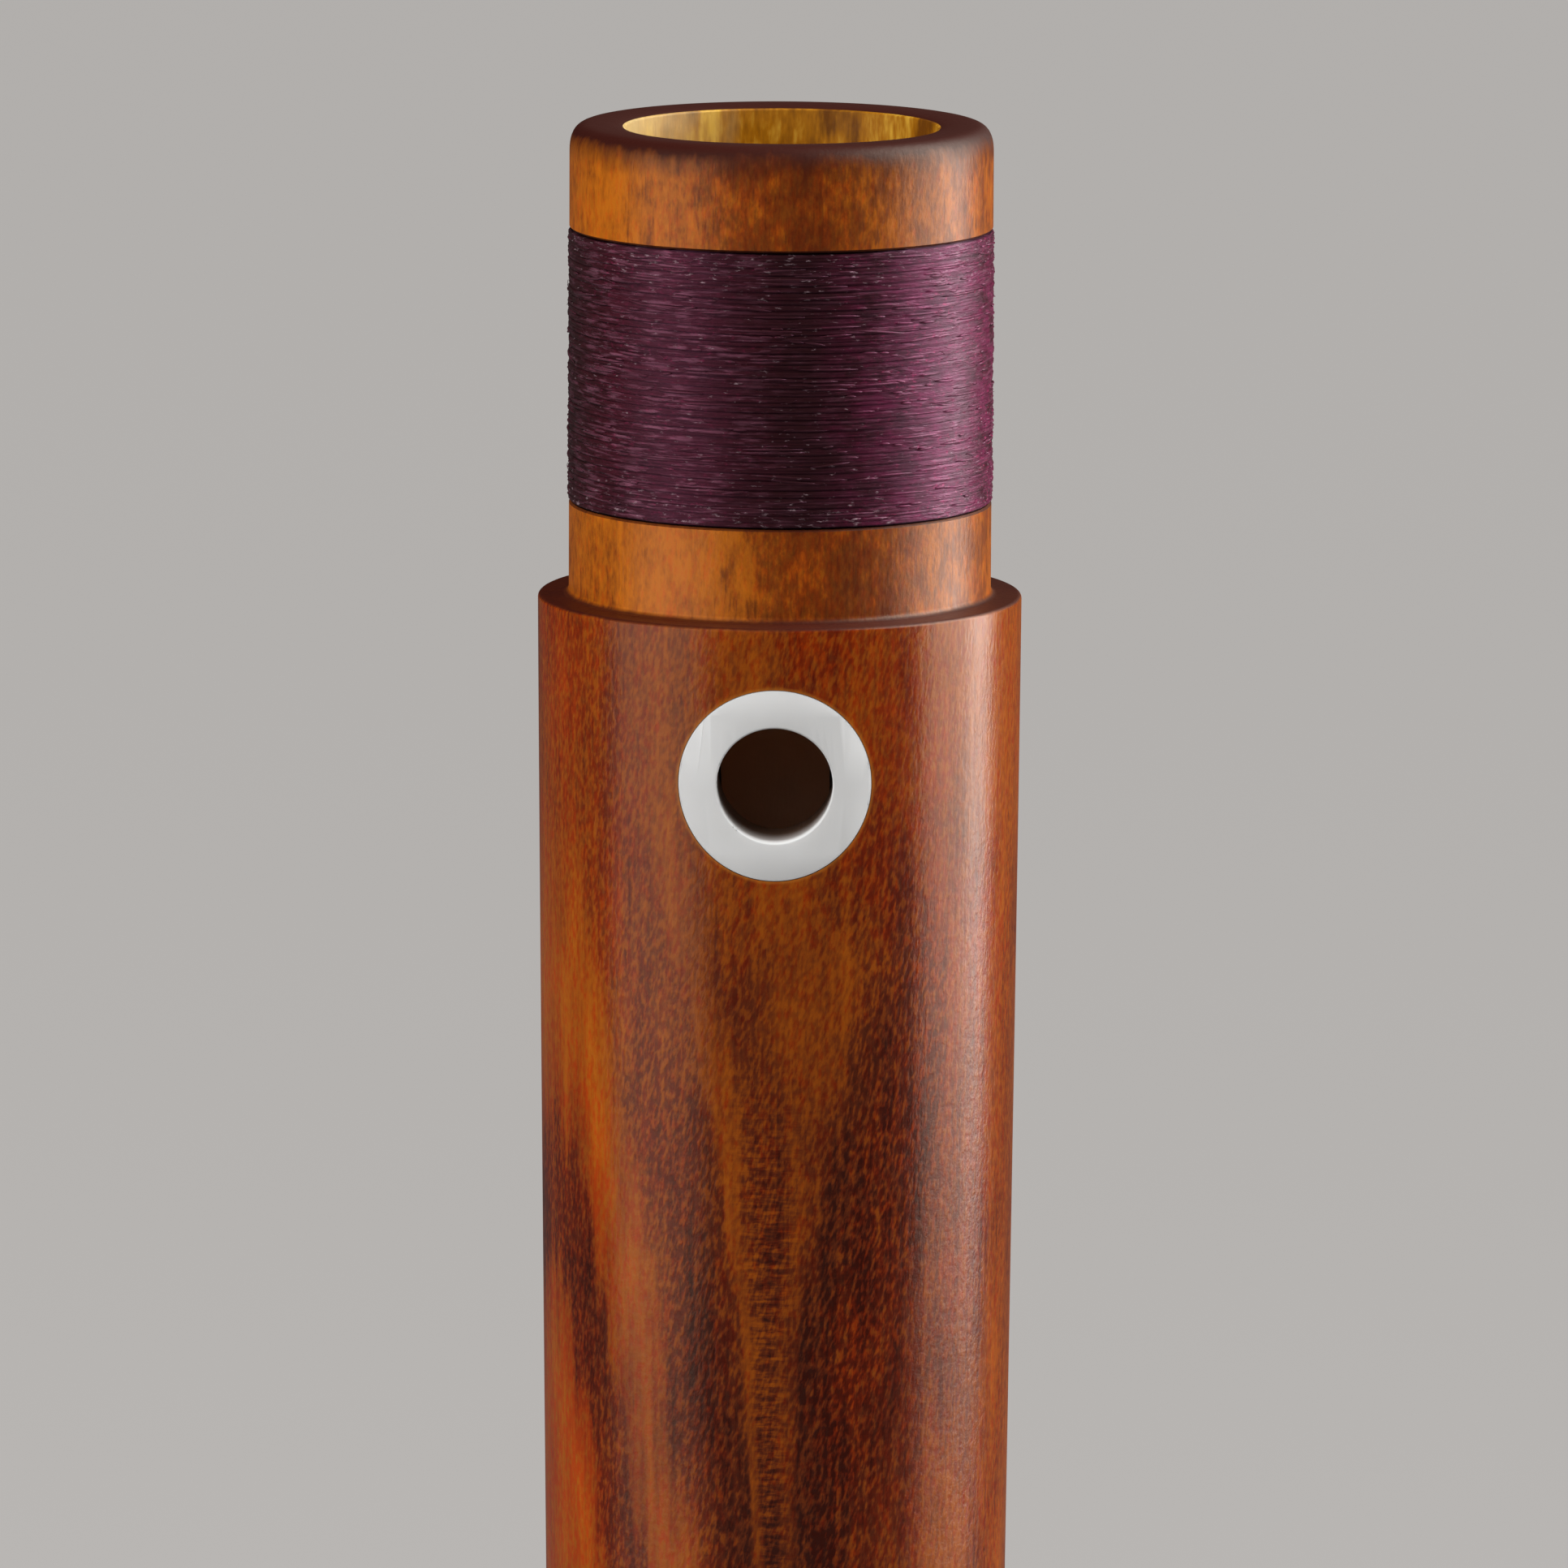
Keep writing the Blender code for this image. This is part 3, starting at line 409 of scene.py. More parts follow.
def woodFinish(name, axisX, boreRadius, shift=0.0, tenonRadius=0.0, seat=None):
    # lengths in millimetres; shift takes another part of the same billet
    material, tree, shader = newMaterial(name)
    place, (x, y, z), normal = coordinates(tree, axisX)
    shoulder = upperShoulder / mm
    height = minus(z, shoulder)
    radius = apart(x, y)
    grain = vectors("ADD", {0: place, 1: (0, 0, -shoulder + shift)})
    pattern = {key: noise(grain, *settings) for key, settings in woodNoise.items()}
    layer = growthLayer(grain, pattern, x, height)
    slanted = put("ShaderNodeMapping", {"Vector": grain, "Rotation": (0.0, wood["fleckLean"], 0.0)})
    fleck = rise(noise(slanted.outputs[0], *fleckNoise), 0.42, 0.64)
    pore = rise(pattern["pore"], 0.58, 0.70)
    shades = (wood["darkest"], wood["dark"], wood["middle"], wood["orange"], wood["brightest"])
    colour = ramp(figuredTone(pattern, height, layer, fleck, pore), zip((0.0, 0.24, 0.5, 0.78, 1.0), shades))
    plain = ramp(plainTone(pattern, layer, pore), zip((0.30, 0.46, 0.58, 0.74), wood["tenon"]))
    aboveShoulder = sums("GREATER_THAN", height, 0.0 if tenonRadius else wood["never"])
    onTenon = times(aboveShoulder, sums("LESS_THAN", radius, tenonRadius))
    colour = blend(onTenon, colour, plain)

    # light flecks are golden and the dark between them is redder
    hue = plus(pattern["hue"], timesPlus(fleck, 0.16, -0.08), pattern["hueDrift"],
               byLayer(layer, goldenLayers), -0.02)
    hue = rise(hue, 0.36, 0.64)
    hue = timesPlus(minus(hue, 0.5), timesPlus(onTenon, -0.50, 1.0), 0.5)
    colour = blend(1.0, colour, blend(hue, wood["redder"], wood["golden"]), "MULTIPLY")

    # painted glow: on the front, the wood just round the bushing is painted a lighter orange, a thin rim of
    # light
    if seat:
        away = apart(x, minus(z, seat["height"] / mm))
        past = over(minus(away, seat["radius"] / mm), wood["lipReach"])
        glow = times(ramp(past, [(0.0, 0.38), (1.0, 0.0)], "EASE"), sums("LESS_THAN", y, 0.0))
        colour = blend(glow, colour, wood["paintedLipGlow"])

    # end grain and the rounded rim turn dark: partly the colouring that end grain drinks up, partly painted
    # shade on the rim and on faces that point up or down
    up = sums("ABSOLUTE", put("ShaderNodeSeparateXYZ", {0: normal}).outputs[2])
    darkEndsAndShade = ramp(plus(up, pattern["darkEndsNoise"]), [(0.24, 0.0), (0.50, 0.48), (0.80, 0.92)])
    if tenonRadius:
        below = plus(minus((tenonTop - upperShoulder) / mm, height), noise(grain, *rimNoise))
        rim = ramp(over(below, wood["rimDarkAndShade"]), [(0.2, 1.0), (0.52, 0.55), (0.95, 0.0)])
        darkEndsAndShade = sums("MAXIMUM", darkEndsAndShade, rim)
    colour = blend(darkEndsAndShade, colour, wood["endGrainAndShadeColour"])
    inBore = sums("LESS_THAN", radius, boreRadius)
    colour = blend(inBore, colour, boreColour(pattern, x, height))

    # pores and fibres show in the gloss
    rough = timesPlus(minus(pattern["gloss"], 0.5), 0.20, wood["roughness"])
    rough = plus(rough, sums("MAXIMUM", times(darkEndsAndShade, 0.30), times(onTenon, 0.12)))
    relief = plus(times(pattern["gloss"], 0.7), times(fleck, 0.3), pattern["dimple"])
    feed(shader, {"Base Color": colour, "Roughness": rough,
                  "Normal": bumped(relief, strength=0.38, depth=0.03 * mm),
                  "Specular IOR Level": wood["specular"], "Specular Tint": (*wood["specularTint"], 1)})
    material.diffuse_color = (*wood["middle"], 1)
    return material


# profile of the middle joint
middle = {
    "topRadius": 14.21 * mm, "bottomRadius": 11.76 * mm, "taperPower": 1.15,
    "boreTop": 9.15 * mm, "boreBottom": 7.35 * mm, "boreChoke": 0.35 * mm,
    "tenonRadius": 12.4 * mm, "rimRound": (1.2 * mm, 1.7 * mm), "rimPower": 2.6, "rimSteps": 12,
    "mouthDrop": 0.2 * mm, "mouthRound": 0.12 * mm, "mouthFlat": 0.4 * mm, "rootFillet": 0.4 * mm,
    "shoulderRound": 0.25 * mm, "grooveDepth": 1.2 * mm, "grooveEdge": 0.12 * mm,
    "lappingFromRim": 6.1 * mm, "lappingLength": 16.1 * mm,
    "lowerTenonRadius": 9.8 * mm, "lowerGrooveDepth": 0.9 * mm, "lowerChamfer": 0.6 * mm,
    "lowerLappingFromShoulder": 5.0 * mm, "lowerLappingLength": 11.5 * mm,
    "segments": 192, "ringStep": 2.6 * mm,
    # drop below the upper shoulder, radius, turn from the front
    "holes": ((32, 3.0, 0), (62, 3.3, 0), (92, 3.2, 0), (128, 3.1, 0), (157, 3.0, 0), (185, 2.2, 14),
              (185, 1.75, -16)),
    "undercut": 0.4 * mm, "holeEdge": 0.15 * mm, "holeSides": 72, "seatRadius": 5.62 * mm,
    "plainRadius": 12.7, "oiledRadius": 9.29,      # millimetres, just wider than the tenon and the bore
}


def middleRadius(drop):
    tapered = (drop / (upperShoulder - lowerShoulder)) ** middle["taperPower"]
    return middle["topRadius"] - (middle["topRadius"] - middle["bottomRadius"]) * tapered


def boreRadiusAt(height):
    share = (height - middleLow.z) / (tenonTop - middleLow.z)
    pull = (middle["boreBottom"] + middle["boreTop"]) / 2 - middle["boreChoke"]
    return ((1 - share) ** 2 * middle["boreBottom"] + 2 * share * (1 - share) * pull
            + share ** 2 * middle["boreTop"])


def middleOutline():
    m, tenon = middle, middle["tenonRadius"]
    rim, fillet, edge, nick = (m[k] for k in ("rimRound", "rootFillet", "shoulderRound", "grooveEdge"))
    mouth = (m["boreTop"] + m["mouthRound"], tenonTop - m["mouthDrop"] - m["mouthRound"])
    lapTop = tenonTop - m["lappingFromRim"]
    lapBottom = lapTop - m["lappingLength"]
    groove = tenon - m["grooveDepth"]
    points = arc(mouth, m["mouthRound"], 180, 110, 4)
    rimStart = (tenon - rim[0], tenonTop)
    points += sweep(points[-1], (mouth[0] + m["mouthFlat"], tenonTop), rimStart, 6)[1:-1]
    for i in range(m["rimSteps"] + 1):
        t = math.pi / 2 * (1 - i / m["rimSteps"])
        across, down = (1 - abs(part) ** (2 / m["rimPower"]) for part in (math.cos(t), math.sin(t)))
        points.append((tenon - rim[0] * across, tenonTop - rim[1] * down))
    inside = tenon - nick
    points += [(tenon, lapTop + nick), (inside, lapTop), (groove, lapTop)]
    points += [(groove, lapBottom), (inside, lapBottom), (tenon, lapBottom - nick)]
    points += arc((tenon + fillet, upperShoulder + fillet), fillet, 180, 270, 5)
    points += arc((m["topRadius"] - edge, upperShoulder - edge), edge, 90, 0, 5)
    rings = round((upperShoulder - lowerShoulder) / m["ringStep"])
    for i in range(1, rings):
        drop = (upperShoulder - lowerShoulder) * i / rings
        points.append((middleRadius(drop), upperShoulder - drop))
    points += arc((m["bottomRadius"] - edge, lowerShoulder + edge), edge, 0, -90, 4)
    lowTop = lowerShoulder - m["lowerLappingFromShoulder"]
    lowBottom = lowTop - m["lowerLappingLength"]
    lowTenon, chamfer = m["lowerTenonRadius"], m["lowerChamfer"]
    lowGroove = lowTenon - m["lowerGrooveDepth"]
    points += [(lowTenon, lowerShoulder), (lowTenon, lowTop), (lowGroove, lowTop)]
    points += [(lowGroove, lowBottom), (lowTenon, lowBottom)]
    points += [(lowTenon, middleLow.z + chamfer), (lowTenon - chamfer, middleLow.z)]
    rings = round((tenonTop - middleLow.z) / (2 * m["ringStep"]))
    heights = [middleLow.z + (mouth[1] - middleLow.z) * i / rings for i in range(rings)]
    points += [(boreRadiusAt(height), height) for height in heights]
    return points


# pale ring let in round the thumb hole
bushing = {
    "radius": 5.6 * mm, "hole": 3.36 * mm, "outerEdge": 0.07 * mm, "holeEdge": 0.12 * mm,
    "sides": 128, "out": 12 * mm, "through": 12 * mm, "holeThrough": 20 * mm,
    "colour": (0.765, 0.76, 0.75), "holeDark": (0.11, 0.065, 0.045), "holeDarkFrom": 13.7, "holeDarkReach": 3.4,
    "roughness": 0.52, "subsurface": 0.15, "subsurfaceReach": 0.6 * mm,
    "cloud": ((0.25, 0.25, 0.25), 2.0, 0.55, 0.0), "scratch": ((3.0, 3.0, 0.3), 3.0, 0.55, 0.0),
}


def thumbPlug(radius, depth):
    # a cylinder through the wall at the thumb hole
    deselectAll()
    bpy.ops.mesh.primitive_cylinder_add(vertices=bushing["sides"], radius=radius, depth=depth,
                                        location=(bodyAxisX, -bushing["out"], holeHeight),
                                        rotation=(math.pi / 2, 0, 0))
    plug = bpy.context.object
    placeInMesh(plug)
    return plug


def makeMiddleJoint():
    joint = spinOutline("middleJoint", middleOutline(), bodyAxisX, middle["segments"])
    for drop, radius, turn in middle["holes"]:
        outside = middleRadius(drop * mm)
        wall = outside - boreRadiusAt(upperShoulder - drop * mm)
        boolean(joint, drill(bodyAxisX, upperShoulder - drop * mm, radius * mm, turn, outside, wall))
    boolean(joint, thumbPlug(middle["seatRadius"], bushing["through"]))
    finishSmooth(joint)
    dress(joint, woodFinish("bodyWood", bodyAxisX, middle["oiledRadius"], tenonRadius=middle["plainRadius"],
                            seat={"height": holeHeight, "radius": bushing["radius"]}))
    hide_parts("middle_body")
    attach(joint, "middle_joint")
    print("middle joint turned and drilled,", len(joint.data.polygons), "faces")


def bushingFinish():
    material, tree, shader = newMaterial("bushingWhite")
    place, (x, y, _), _ = coordinates(tree, bodyAxisX)
    cloud = noise(place, *bushing["cloud"])
    colour = ramp(cloud, [(0.35, tuple(c * 0.95 for c in bushing["colour"])), (0.65, bushing["colour"])])
    # the ring's wall turns dark brown deeper into the hole, towards the bore
    depth = minus(bushing["holeDarkFrom"], apart(x, y))
    holeDarkening = ramp(over(depth, bushing["holeDarkReach"]), [(0.0, 0.0), (0.2, 0.6), (0.8, 1.0)])
    scratch = noise(place, *bushing["scratch"])
    feed(shader, {"Base Color": blend(holeDarkening, colour, bushing["holeDark"]),
                  "Roughness": timesPlus(scratch, 0.12, bushing["roughness"]),
                  "Normal": bumped(scratch, strength=0.15, depth=0.01 * mm),
                  "Subsurface Weight": bushing["subsurface"], "Subsurface Radius": (1.0, 0.9, 0.8),
                  "Subsurface Scale": bushing["subsurfaceReach"]})
    material.diffuse_color = (*bushing["colour"], 1)
    return material


def selectRimEdges(piece, centre, nearRadius, tolerance):
    # rims of a ring that lies along Y: both ends of each edge near one radius, and a sharp edge
    takeUp(piece)
    setMode("EDIT")
    bpy.ops.mesh.select_mode(type="EDGE")
    bpy.ops.mesh.select_all(action="DESELECT")
    bpy.ops.mesh.edges_select_sharp(sharpness=math.radians(40))
    setMode("OBJECT")
    for edge in piece.data.edges:
        ends = [piece.data.vertices[i].co for i in edge.vertices]
        near = all(abs(math.hypot(p.x - centre[0], p.z - centre[1]) - nearRadius) < tolerance for p in ends)
        edge.select = edge.select and near
    setMode("EDIT")


def makeBushing():
    ring = thumbPlug(bushing["radius"], bushing["through"])
    ring.name = ring.data.name = "thumbBushing"
    boolean(ring, thumbPlug(bushing["hole"], bushing["holeThrough"]))
    # cut to the wall's own form, bore and outside
    heights = [holeHeight + step * mm for step in (8, 4, 0, -4, -8)]
    wall = [(boreRadiusAt(z), z) for z in (heights[-1], heights[0])]
    wall += [(middleRadius(upperShoulder - z), z) for z in heights]
    boolean(ring, spinOutline("wallForm", wall, bodyAxisX, middle["segments"]), "INTERSECT")
    for radius, edge, segments in ((bushing["hole"], "holeEdge", 5), (bushing["radius"], "outerEdge", 2)):
        selectRimEdges(ring, (bodyAxisX, holeHeight), radius, 0.02 * mm)
        bpy.ops.mesh.bevel(offset=bushing[edge], segments=segments, affect="EDGES")
        setMode("OBJECT")
    finishSmooth(ring, 30)
    dress(ring, bushingFinish())
    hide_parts("thumb_hole_bushing")
    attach(ring, "middle_joint")
    print("bushing let in,", len(ring.data.polygons), "faces")


# waxed thread on the tenons
lapping = {
    "thread": 0.28 * mm, "pitch": 0.205 * mm, "pointsPerTurn": 60, "calmEnds": 12, "driftRate": 0.37,
    "seed": 11, "segments": 96,
    "wander": 0.05 * mm, "lift": 0.032 * mm, "proud": 0.07 * mm, "underProud": -0.05 * mm,
    "sleeveGap": 0.02 * mm, "upperFloor": 11.32 * mm, "lowerFloor": 8.92 * mm, "sunk": 0.05 * mm,
    "strands": 700, "strandThread": 0.16 * mm, "strandInset": 0.08 * mm, "hairs": 70, "hairThread": 0.03 * mm,
    "core": (0.017, 0.0045, 0.0046), "dye": (0.060, 0.0080, 0.0150), "dash": (0.26, 0.095, 0.145),
    # the last colour on the next line is a lighter magenta, painted light on the thread's lit right side
    "wax": (0.40, 0.28, 0.31), "magenta": (0.42, 0.020, 0.110), "paintedLitSide": (0.17, 0.010, 0.060),
    # the next colour is the dark of smooth handled wax, and of painted shade
    "smooth": (0.019, 0.0064, 0.0060),
    "smoothAt": 1.6, "smoothReach": 10.0, "radius": 12.5, "edgeReach": 3.0,      # millimetres
    "roughness": 0.38, "specular": 0.50, "specularTint": (1.0, 0.34, 0.64),
}
threadNoise = {
    "strand": ((0.45, 1.0, 5.0), 4.0, 0.65, 0.0), "patch": ((0.12, 1.0, 0.26), 3.0, 0.6, 3.0),
    "smooth": ((0.16, 1.0, 0.22), 3.0, 0.6, 41.0, 7.0), "bare": ((0.20, 1.0, 0.42), 3.0, 0.6, 17.0),
    "dash": ((0.50, 1.0, 3.6), 3.0, 0.6, 5.0), "paintedLitSide": ((0.40, 1.0, 0.9), 4.0, 0.7, 51.0),
    "fuzz": ((2.4, 1.0, 4.2), 3.0, 0.7, 21.0), "flake": ((1.3, 1.0, 4.5), 4.0, 0.7, 8.0),
    "rough": ((0.9, 1.0, 2.0), 3.0, 0.6, 31.0, 0.50), "relief": ((0.9, 1.0, 7.0), 4.0, 0.65, 6.0),
}


def threadFinish(name, bottom, top, lift, fill):
    # lift shows more of the dashes, and fill is how much wax lies between the turns
    material, tree, shader = newMaterial(name)
    _, (x, y, z), normal = coordinates(tree, bodyAxisX)
    around = times(sums("ARCTAN2", y, x), lapping["radius"])
    flat = put("ShaderNodeCombineXYZ", {0: around, 1: 0.0, 2: z}).outputs[0]
    pattern = {key: noise(flat, *settings) for key, settings in threadNoise.items()}
    tone = plus(times(pattern["strand"], 0.6), times(pattern["patch"], 0.4))
    colour = ramp(tone, [(0.38, lapping["core"]), (0.60, lapping["dye"])])

    # at the front, the thread is painted darker in a patch near the middle and towards the left edge: partly
    # wax left smooth by handling, with fewer dashes, partly painted shade
    across = sums("ABSOLUTE", minus(plus(x, pattern["smooth"]), lapping["smoothAt"]))
    smooth = ramp(over(across, lapping["smoothReach"]), [(0.10, 1.0), (0.72, 0.0)])
    # painted shade: darker towards the left edge
    shaded = rise(over(x, -lapping["radius"]), 0.76, 0.98, 0.8)
    smooth = times(sums("MAXIMUM", smooth, shaded), sums("LESS_THAN", y, 0.0))
    colour = blend(times(smooth, 0.85), colour, lapping["smooth"])

    # broken dashes where the thread stands out of the wax, painted lighter: the bare thread's own colour, and
    # a painted highlight on it
    bare = ramp(pattern["bare"], [(0.40, 0.35), (0.60, 1.0)])
    bare = times(bare, timesPlus(smooth, -0.85, 1.0))
    dashes = rise(pattern["dash"], 0.50, 0.62, 0.8)
    dashes = times(sums("MAXIMUM", dashes, lift), bare)
    colour = blend(times(dashes, 0.75), colour, lapping["dash"])

    # painted light: towards the right side, where the lamps light it, the thread is painted lighter and more
    # magenta in patches; magenta fuzz, most on that side, and pale flakes of wax, most near the ends
    paintedLitSide = rise(over(x, lapping["radius"]), 0.15, 0.75)
    patchy = rise(pattern["paintedLitSide"], 0.42, 0.62, 0.65)
    colour = blend(times(patchy, paintedLitSide), colour, lapping["paintedLitSide"])
    fuzz = times(rise(pattern["fuzz"], 0.56, 0.68, 0.8), timesPlus(paintedLitSide, 0.7, 0.3))
    colour = blend(times(fuzz, bare), colour, lapping["magenta"])
    nearEdge = sums("MINIMUM", minus(top / mm, z), minus(z, bottom / mm))
    edgeMore = ramp(over(nearEdge, lapping["edgeReach"]), [(0.0, 0.05), (1.0, 0.0)])
    waxed = rise(plus(pattern["flake"], edgeMore), 0.62, 0.72, 0.8)
    colour = blend(waxed, colour, lapping["wax"])
    rough = plus(timesPlus(dashes, -0.14, lapping["roughness"]), pattern["rough"])

    # wax fills the furrows between the turns, so there the shading follows the tenon instead of the thread
    filled = timesPlus(dashes, -0.8 * fill, fill)
    radial = put("ShaderNodeCombineXYZ", {0: x, 1: y, 2: 0.0}).outputs[0]
    levelled = put("ShaderNodeMix", {0: filled, 4: normal, 5: vectors("NORMALIZE", {0: radial})},
                   data_type="VECTOR").outputs[1]
    levelled = put("ShaderNodeVectorTransform", {0: levelled}, vector_type="NORMAL",
                   convert_from="OBJECT", convert_to="WORLD").outputs[0]
    bump = put("ShaderNodeBump", {"Strength": 0.7, "Distance": 0.05 * mm, "Normal": levelled,
                                  "Height": plus(pattern["relief"], dashes)})
    feed(shader, {"Base Color": colour, "Roughness": rough, "Normal": bump.outputs[0],
                  "Specular IOR Level": lapping["specular"], "Specular Tint": (*lapping["specularTint"], 1)})
    material.diffuse_color = (*lapping["dye"], 1)
    return material


def threadCurve(name, runs, thickness, resolution=1):
    # each run is a list of (radius, turn, height, share of the thickness) round the bore
    line = bpy.data.curves.new(name, "CURVE")
    line.dimensions = "3D"
    line.bevel_depth = thickness / 2
    line.bevel_resolution = resolution
    line.use_fill_caps = True
    for run in runs:
        spline = line.splines.new("POLY")
        spline.points.add(len(run) - 1)
        for point, (radius, turn, height, share) in zip(spline.points, run):
            point.co = (bodyAxisX + radius * math.cos(turn), radius * math.sin(turn), height, 1)
            point.radius = share
    takeUp(addObject(name, line))
    bpy.ops.object.convert(target="MESH")
    setMode("EDIT")
    weld(0.0005)
    closeMesh()
    return bpy.context.object


def waves(source, count):
    # a few sine waves of unlike length, for a smooth irregular drift
    return [(source.uniform(0.6, 1.4) / i, source.uniform(0.3, 2.6) * i, source.uniform(0, math.tau))
            for i in range(1, count + 1)]


def drift(terms, turn):
    return sum(size * math.sin(turn * rate * lapping["driftRate"] + start) for size, rate, start in terms)


def windThread(source, bottom, top, radius):
    # one long thread, with a level turn at each end
    wide, perTurn = lapping["thread"], lapping["pointsPerTurn"]
    turns = int((top - bottom - wide) / lapping["pitch"])
    slide, lift = waves(source, 5), waves(source, 4)
    winding = []
    for i in range((turns + 2) * perTurn + 1):
        turn = math.tau * i / perTurn
        share = min(1.0, max(0.0, (i / perTurn - 1) / turns))
        ends = min(1.0, share * lapping["calmEnds"], (1 - share) * lapping["calmEnds"])
        height = top - wide / 2 - (top - bottom - wide) * share
        height += lapping["wander"] * ends * drift(slide, turn)
        away = radius + lapping["lift"] * ends * drift(lift, turn)
        winding.append((away, turn, height, source.uniform(0.88, 1.08)))
    return winding


def layStrands(source, bottom, top, radius):
    # loose ends and crossings of the same thread, pressed into the wax
    strands, inset = [], lapping["strandInset"]
    for i in range(lapping["strands"]):
        start, length = source.uniform(0, math.tau), 0.05 + 0.30 * source.random() ** 2
        height = bottom + (top - bottom) * source.uniform(0.02, 0.98)
        slant = source.choice((0, 0, 0, 0, 0, 0, -1, 1)) * source.uniform(0.5, 1.5)
        slant = (source.gauss(0, 0.2) + slant) * length * mm
        stand, steps = source.uniform(-0.02, 0.05) * mm, max(4, int(length * 12))
        run = []
        for k in range(steps + 1):
            share = k / steps
            bulge = math.sin(math.pi * share)
            z = min(max(height + slant * (share - 0.5), bottom + inset), top - inset)
            run.append((radius + stand * bulge, start + share * length, z, 0.25 + 0.75 * bulge ** 0.5))
        strands.append(run)
    return strands


def layHairs(source, bottom, top, radius):
    hairs, steps = [], 5
    for i in range(lapping["hairs"]):
        turn, height = source.uniform(0, math.tau), source.uniform(0.02, 0.98)
        reach, climb = source.uniform(0.03, 0.16), source.uniform(-0.35, 0.35) * mm
        stand = source.uniform(0.01, 0.09) * mm
        hairs.append([(radius + stand * math.sin(math.pi * k / steps), turn + reach * k / steps,
                       bottom + (top - bottom) * height + climb * (k / steps) ** 2, 1.0)
                      for k in range(steps + 1)])
    return hairs


def makeLapping(name, bottom, top, floor, surface, dressed):
    # the under-layers as one sleeve, and the outermost thread over it
    source = random.Random(lapping["seed"])
    wide, under, gap = lapping["thread"], surface + lapping["underProud"], lapping["sleeveGap"]
    sleeve = [(floor, bottom + gap), (under, bottom + gap), (under, top - gap), (floor, top - gap)]
    sleeve = spinOutline(name + "Under", sleeve, bodyAxisX, lapping["segments"])
    finishSmooth(sleeve)
    middleOfThread = surface + lapping["proud"] - wide / 2
    thread = threadCurve(name, [windThread(source, bottom, top, middleOfThread)], wide)
    finish = threadFinish(name + "Thread", bottom, top, 0.0, 0.9)
    thread.data.materials.append(finish)
    parts = [thread]
    if dressed:
        outside = middleOfThread + wide / 2
        strands = layStrands(source, bottom, top, outside - lapping["sunk"])
        parts.append(threadCurve(name + "Strands", strands, lapping["strandThread"]))
        hairs = layHairs(source, bottom, top, outside)
        parts.append(threadCurve(name + "Hairs", hairs, lapping["hairThread"], 0))
        raised = threadFinish(name + "Raised", bottom, top, 0.45, 0.2)
        for part in parts[1:]:
            part.data.materials.append(raised)
    deselectAll()
    for part in parts:
        part.select_set(True)
    bpy.context.view_layer.objects.active = thread
    bpy.ops.object.join()
    takeUp(thread)
    bpy.ops.object.shade_smooth()
    dress(sleeve, finish)
    for piece in (sleeve, thread):
        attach(piece, "middle_joint")
    print(name, "wound,", len(thread.data.polygons), "faces")
    return sleeve, thread


# profile of the foot joint, with drops from its top and heights from its end
foot = {
    "socket": 10.1 * mm, "socketDepth": 22 * mm, "lip": 13.5 * mm, "topBeadDrop": 2.4 * mm,
    "bulge": 17.6 * mm, "bulgeDrop": 12.5 * mm, "waist": 12.7 * mm, "waistDrop": 43 * mm,
    "waistBead": 30.5 * mm, "bell": 16.2 * mm, "bellHeight": 17 * mm, "end": 14.3 * mm, "endBead": 2.9 * mm,
    "boreTop": 7.3 * mm, "choke": 6.5 * mm, "chokeHeight": 24 * mm, "boreEnd": 7.6 * mm,
    "holes": ((26.5, 2.4, 13), (26.5, 1.95, -15)), "holeOutside": 1.5 * mm,
    "segments": 192, "step": 2 * mm, "oiledRadius": 7.65,      # the last in millimetres
}
turning = {"beadHalf": 1.2 * mm, "beadOut": 1.2 * mm, "neck": 1.1 * mm, "edge": 0.4 * mm}


def bead(radius, height):
    outer = radius + turning["beadOut"]
    return arc((outer - turning["beadHalf"], height), turning["beadHalf"], 80, -80, 20)


def beadedEnd(end, beadHeight):
    # from the neck above the end's bead down to the rounded end itself
    edge, neck = turning["edge"], beadHeight + turning["beadHalf"]
    return [(end, neck)] + bead(end, beadHeight) + arc((end - edge, edge), edge, 0, -90, 9)


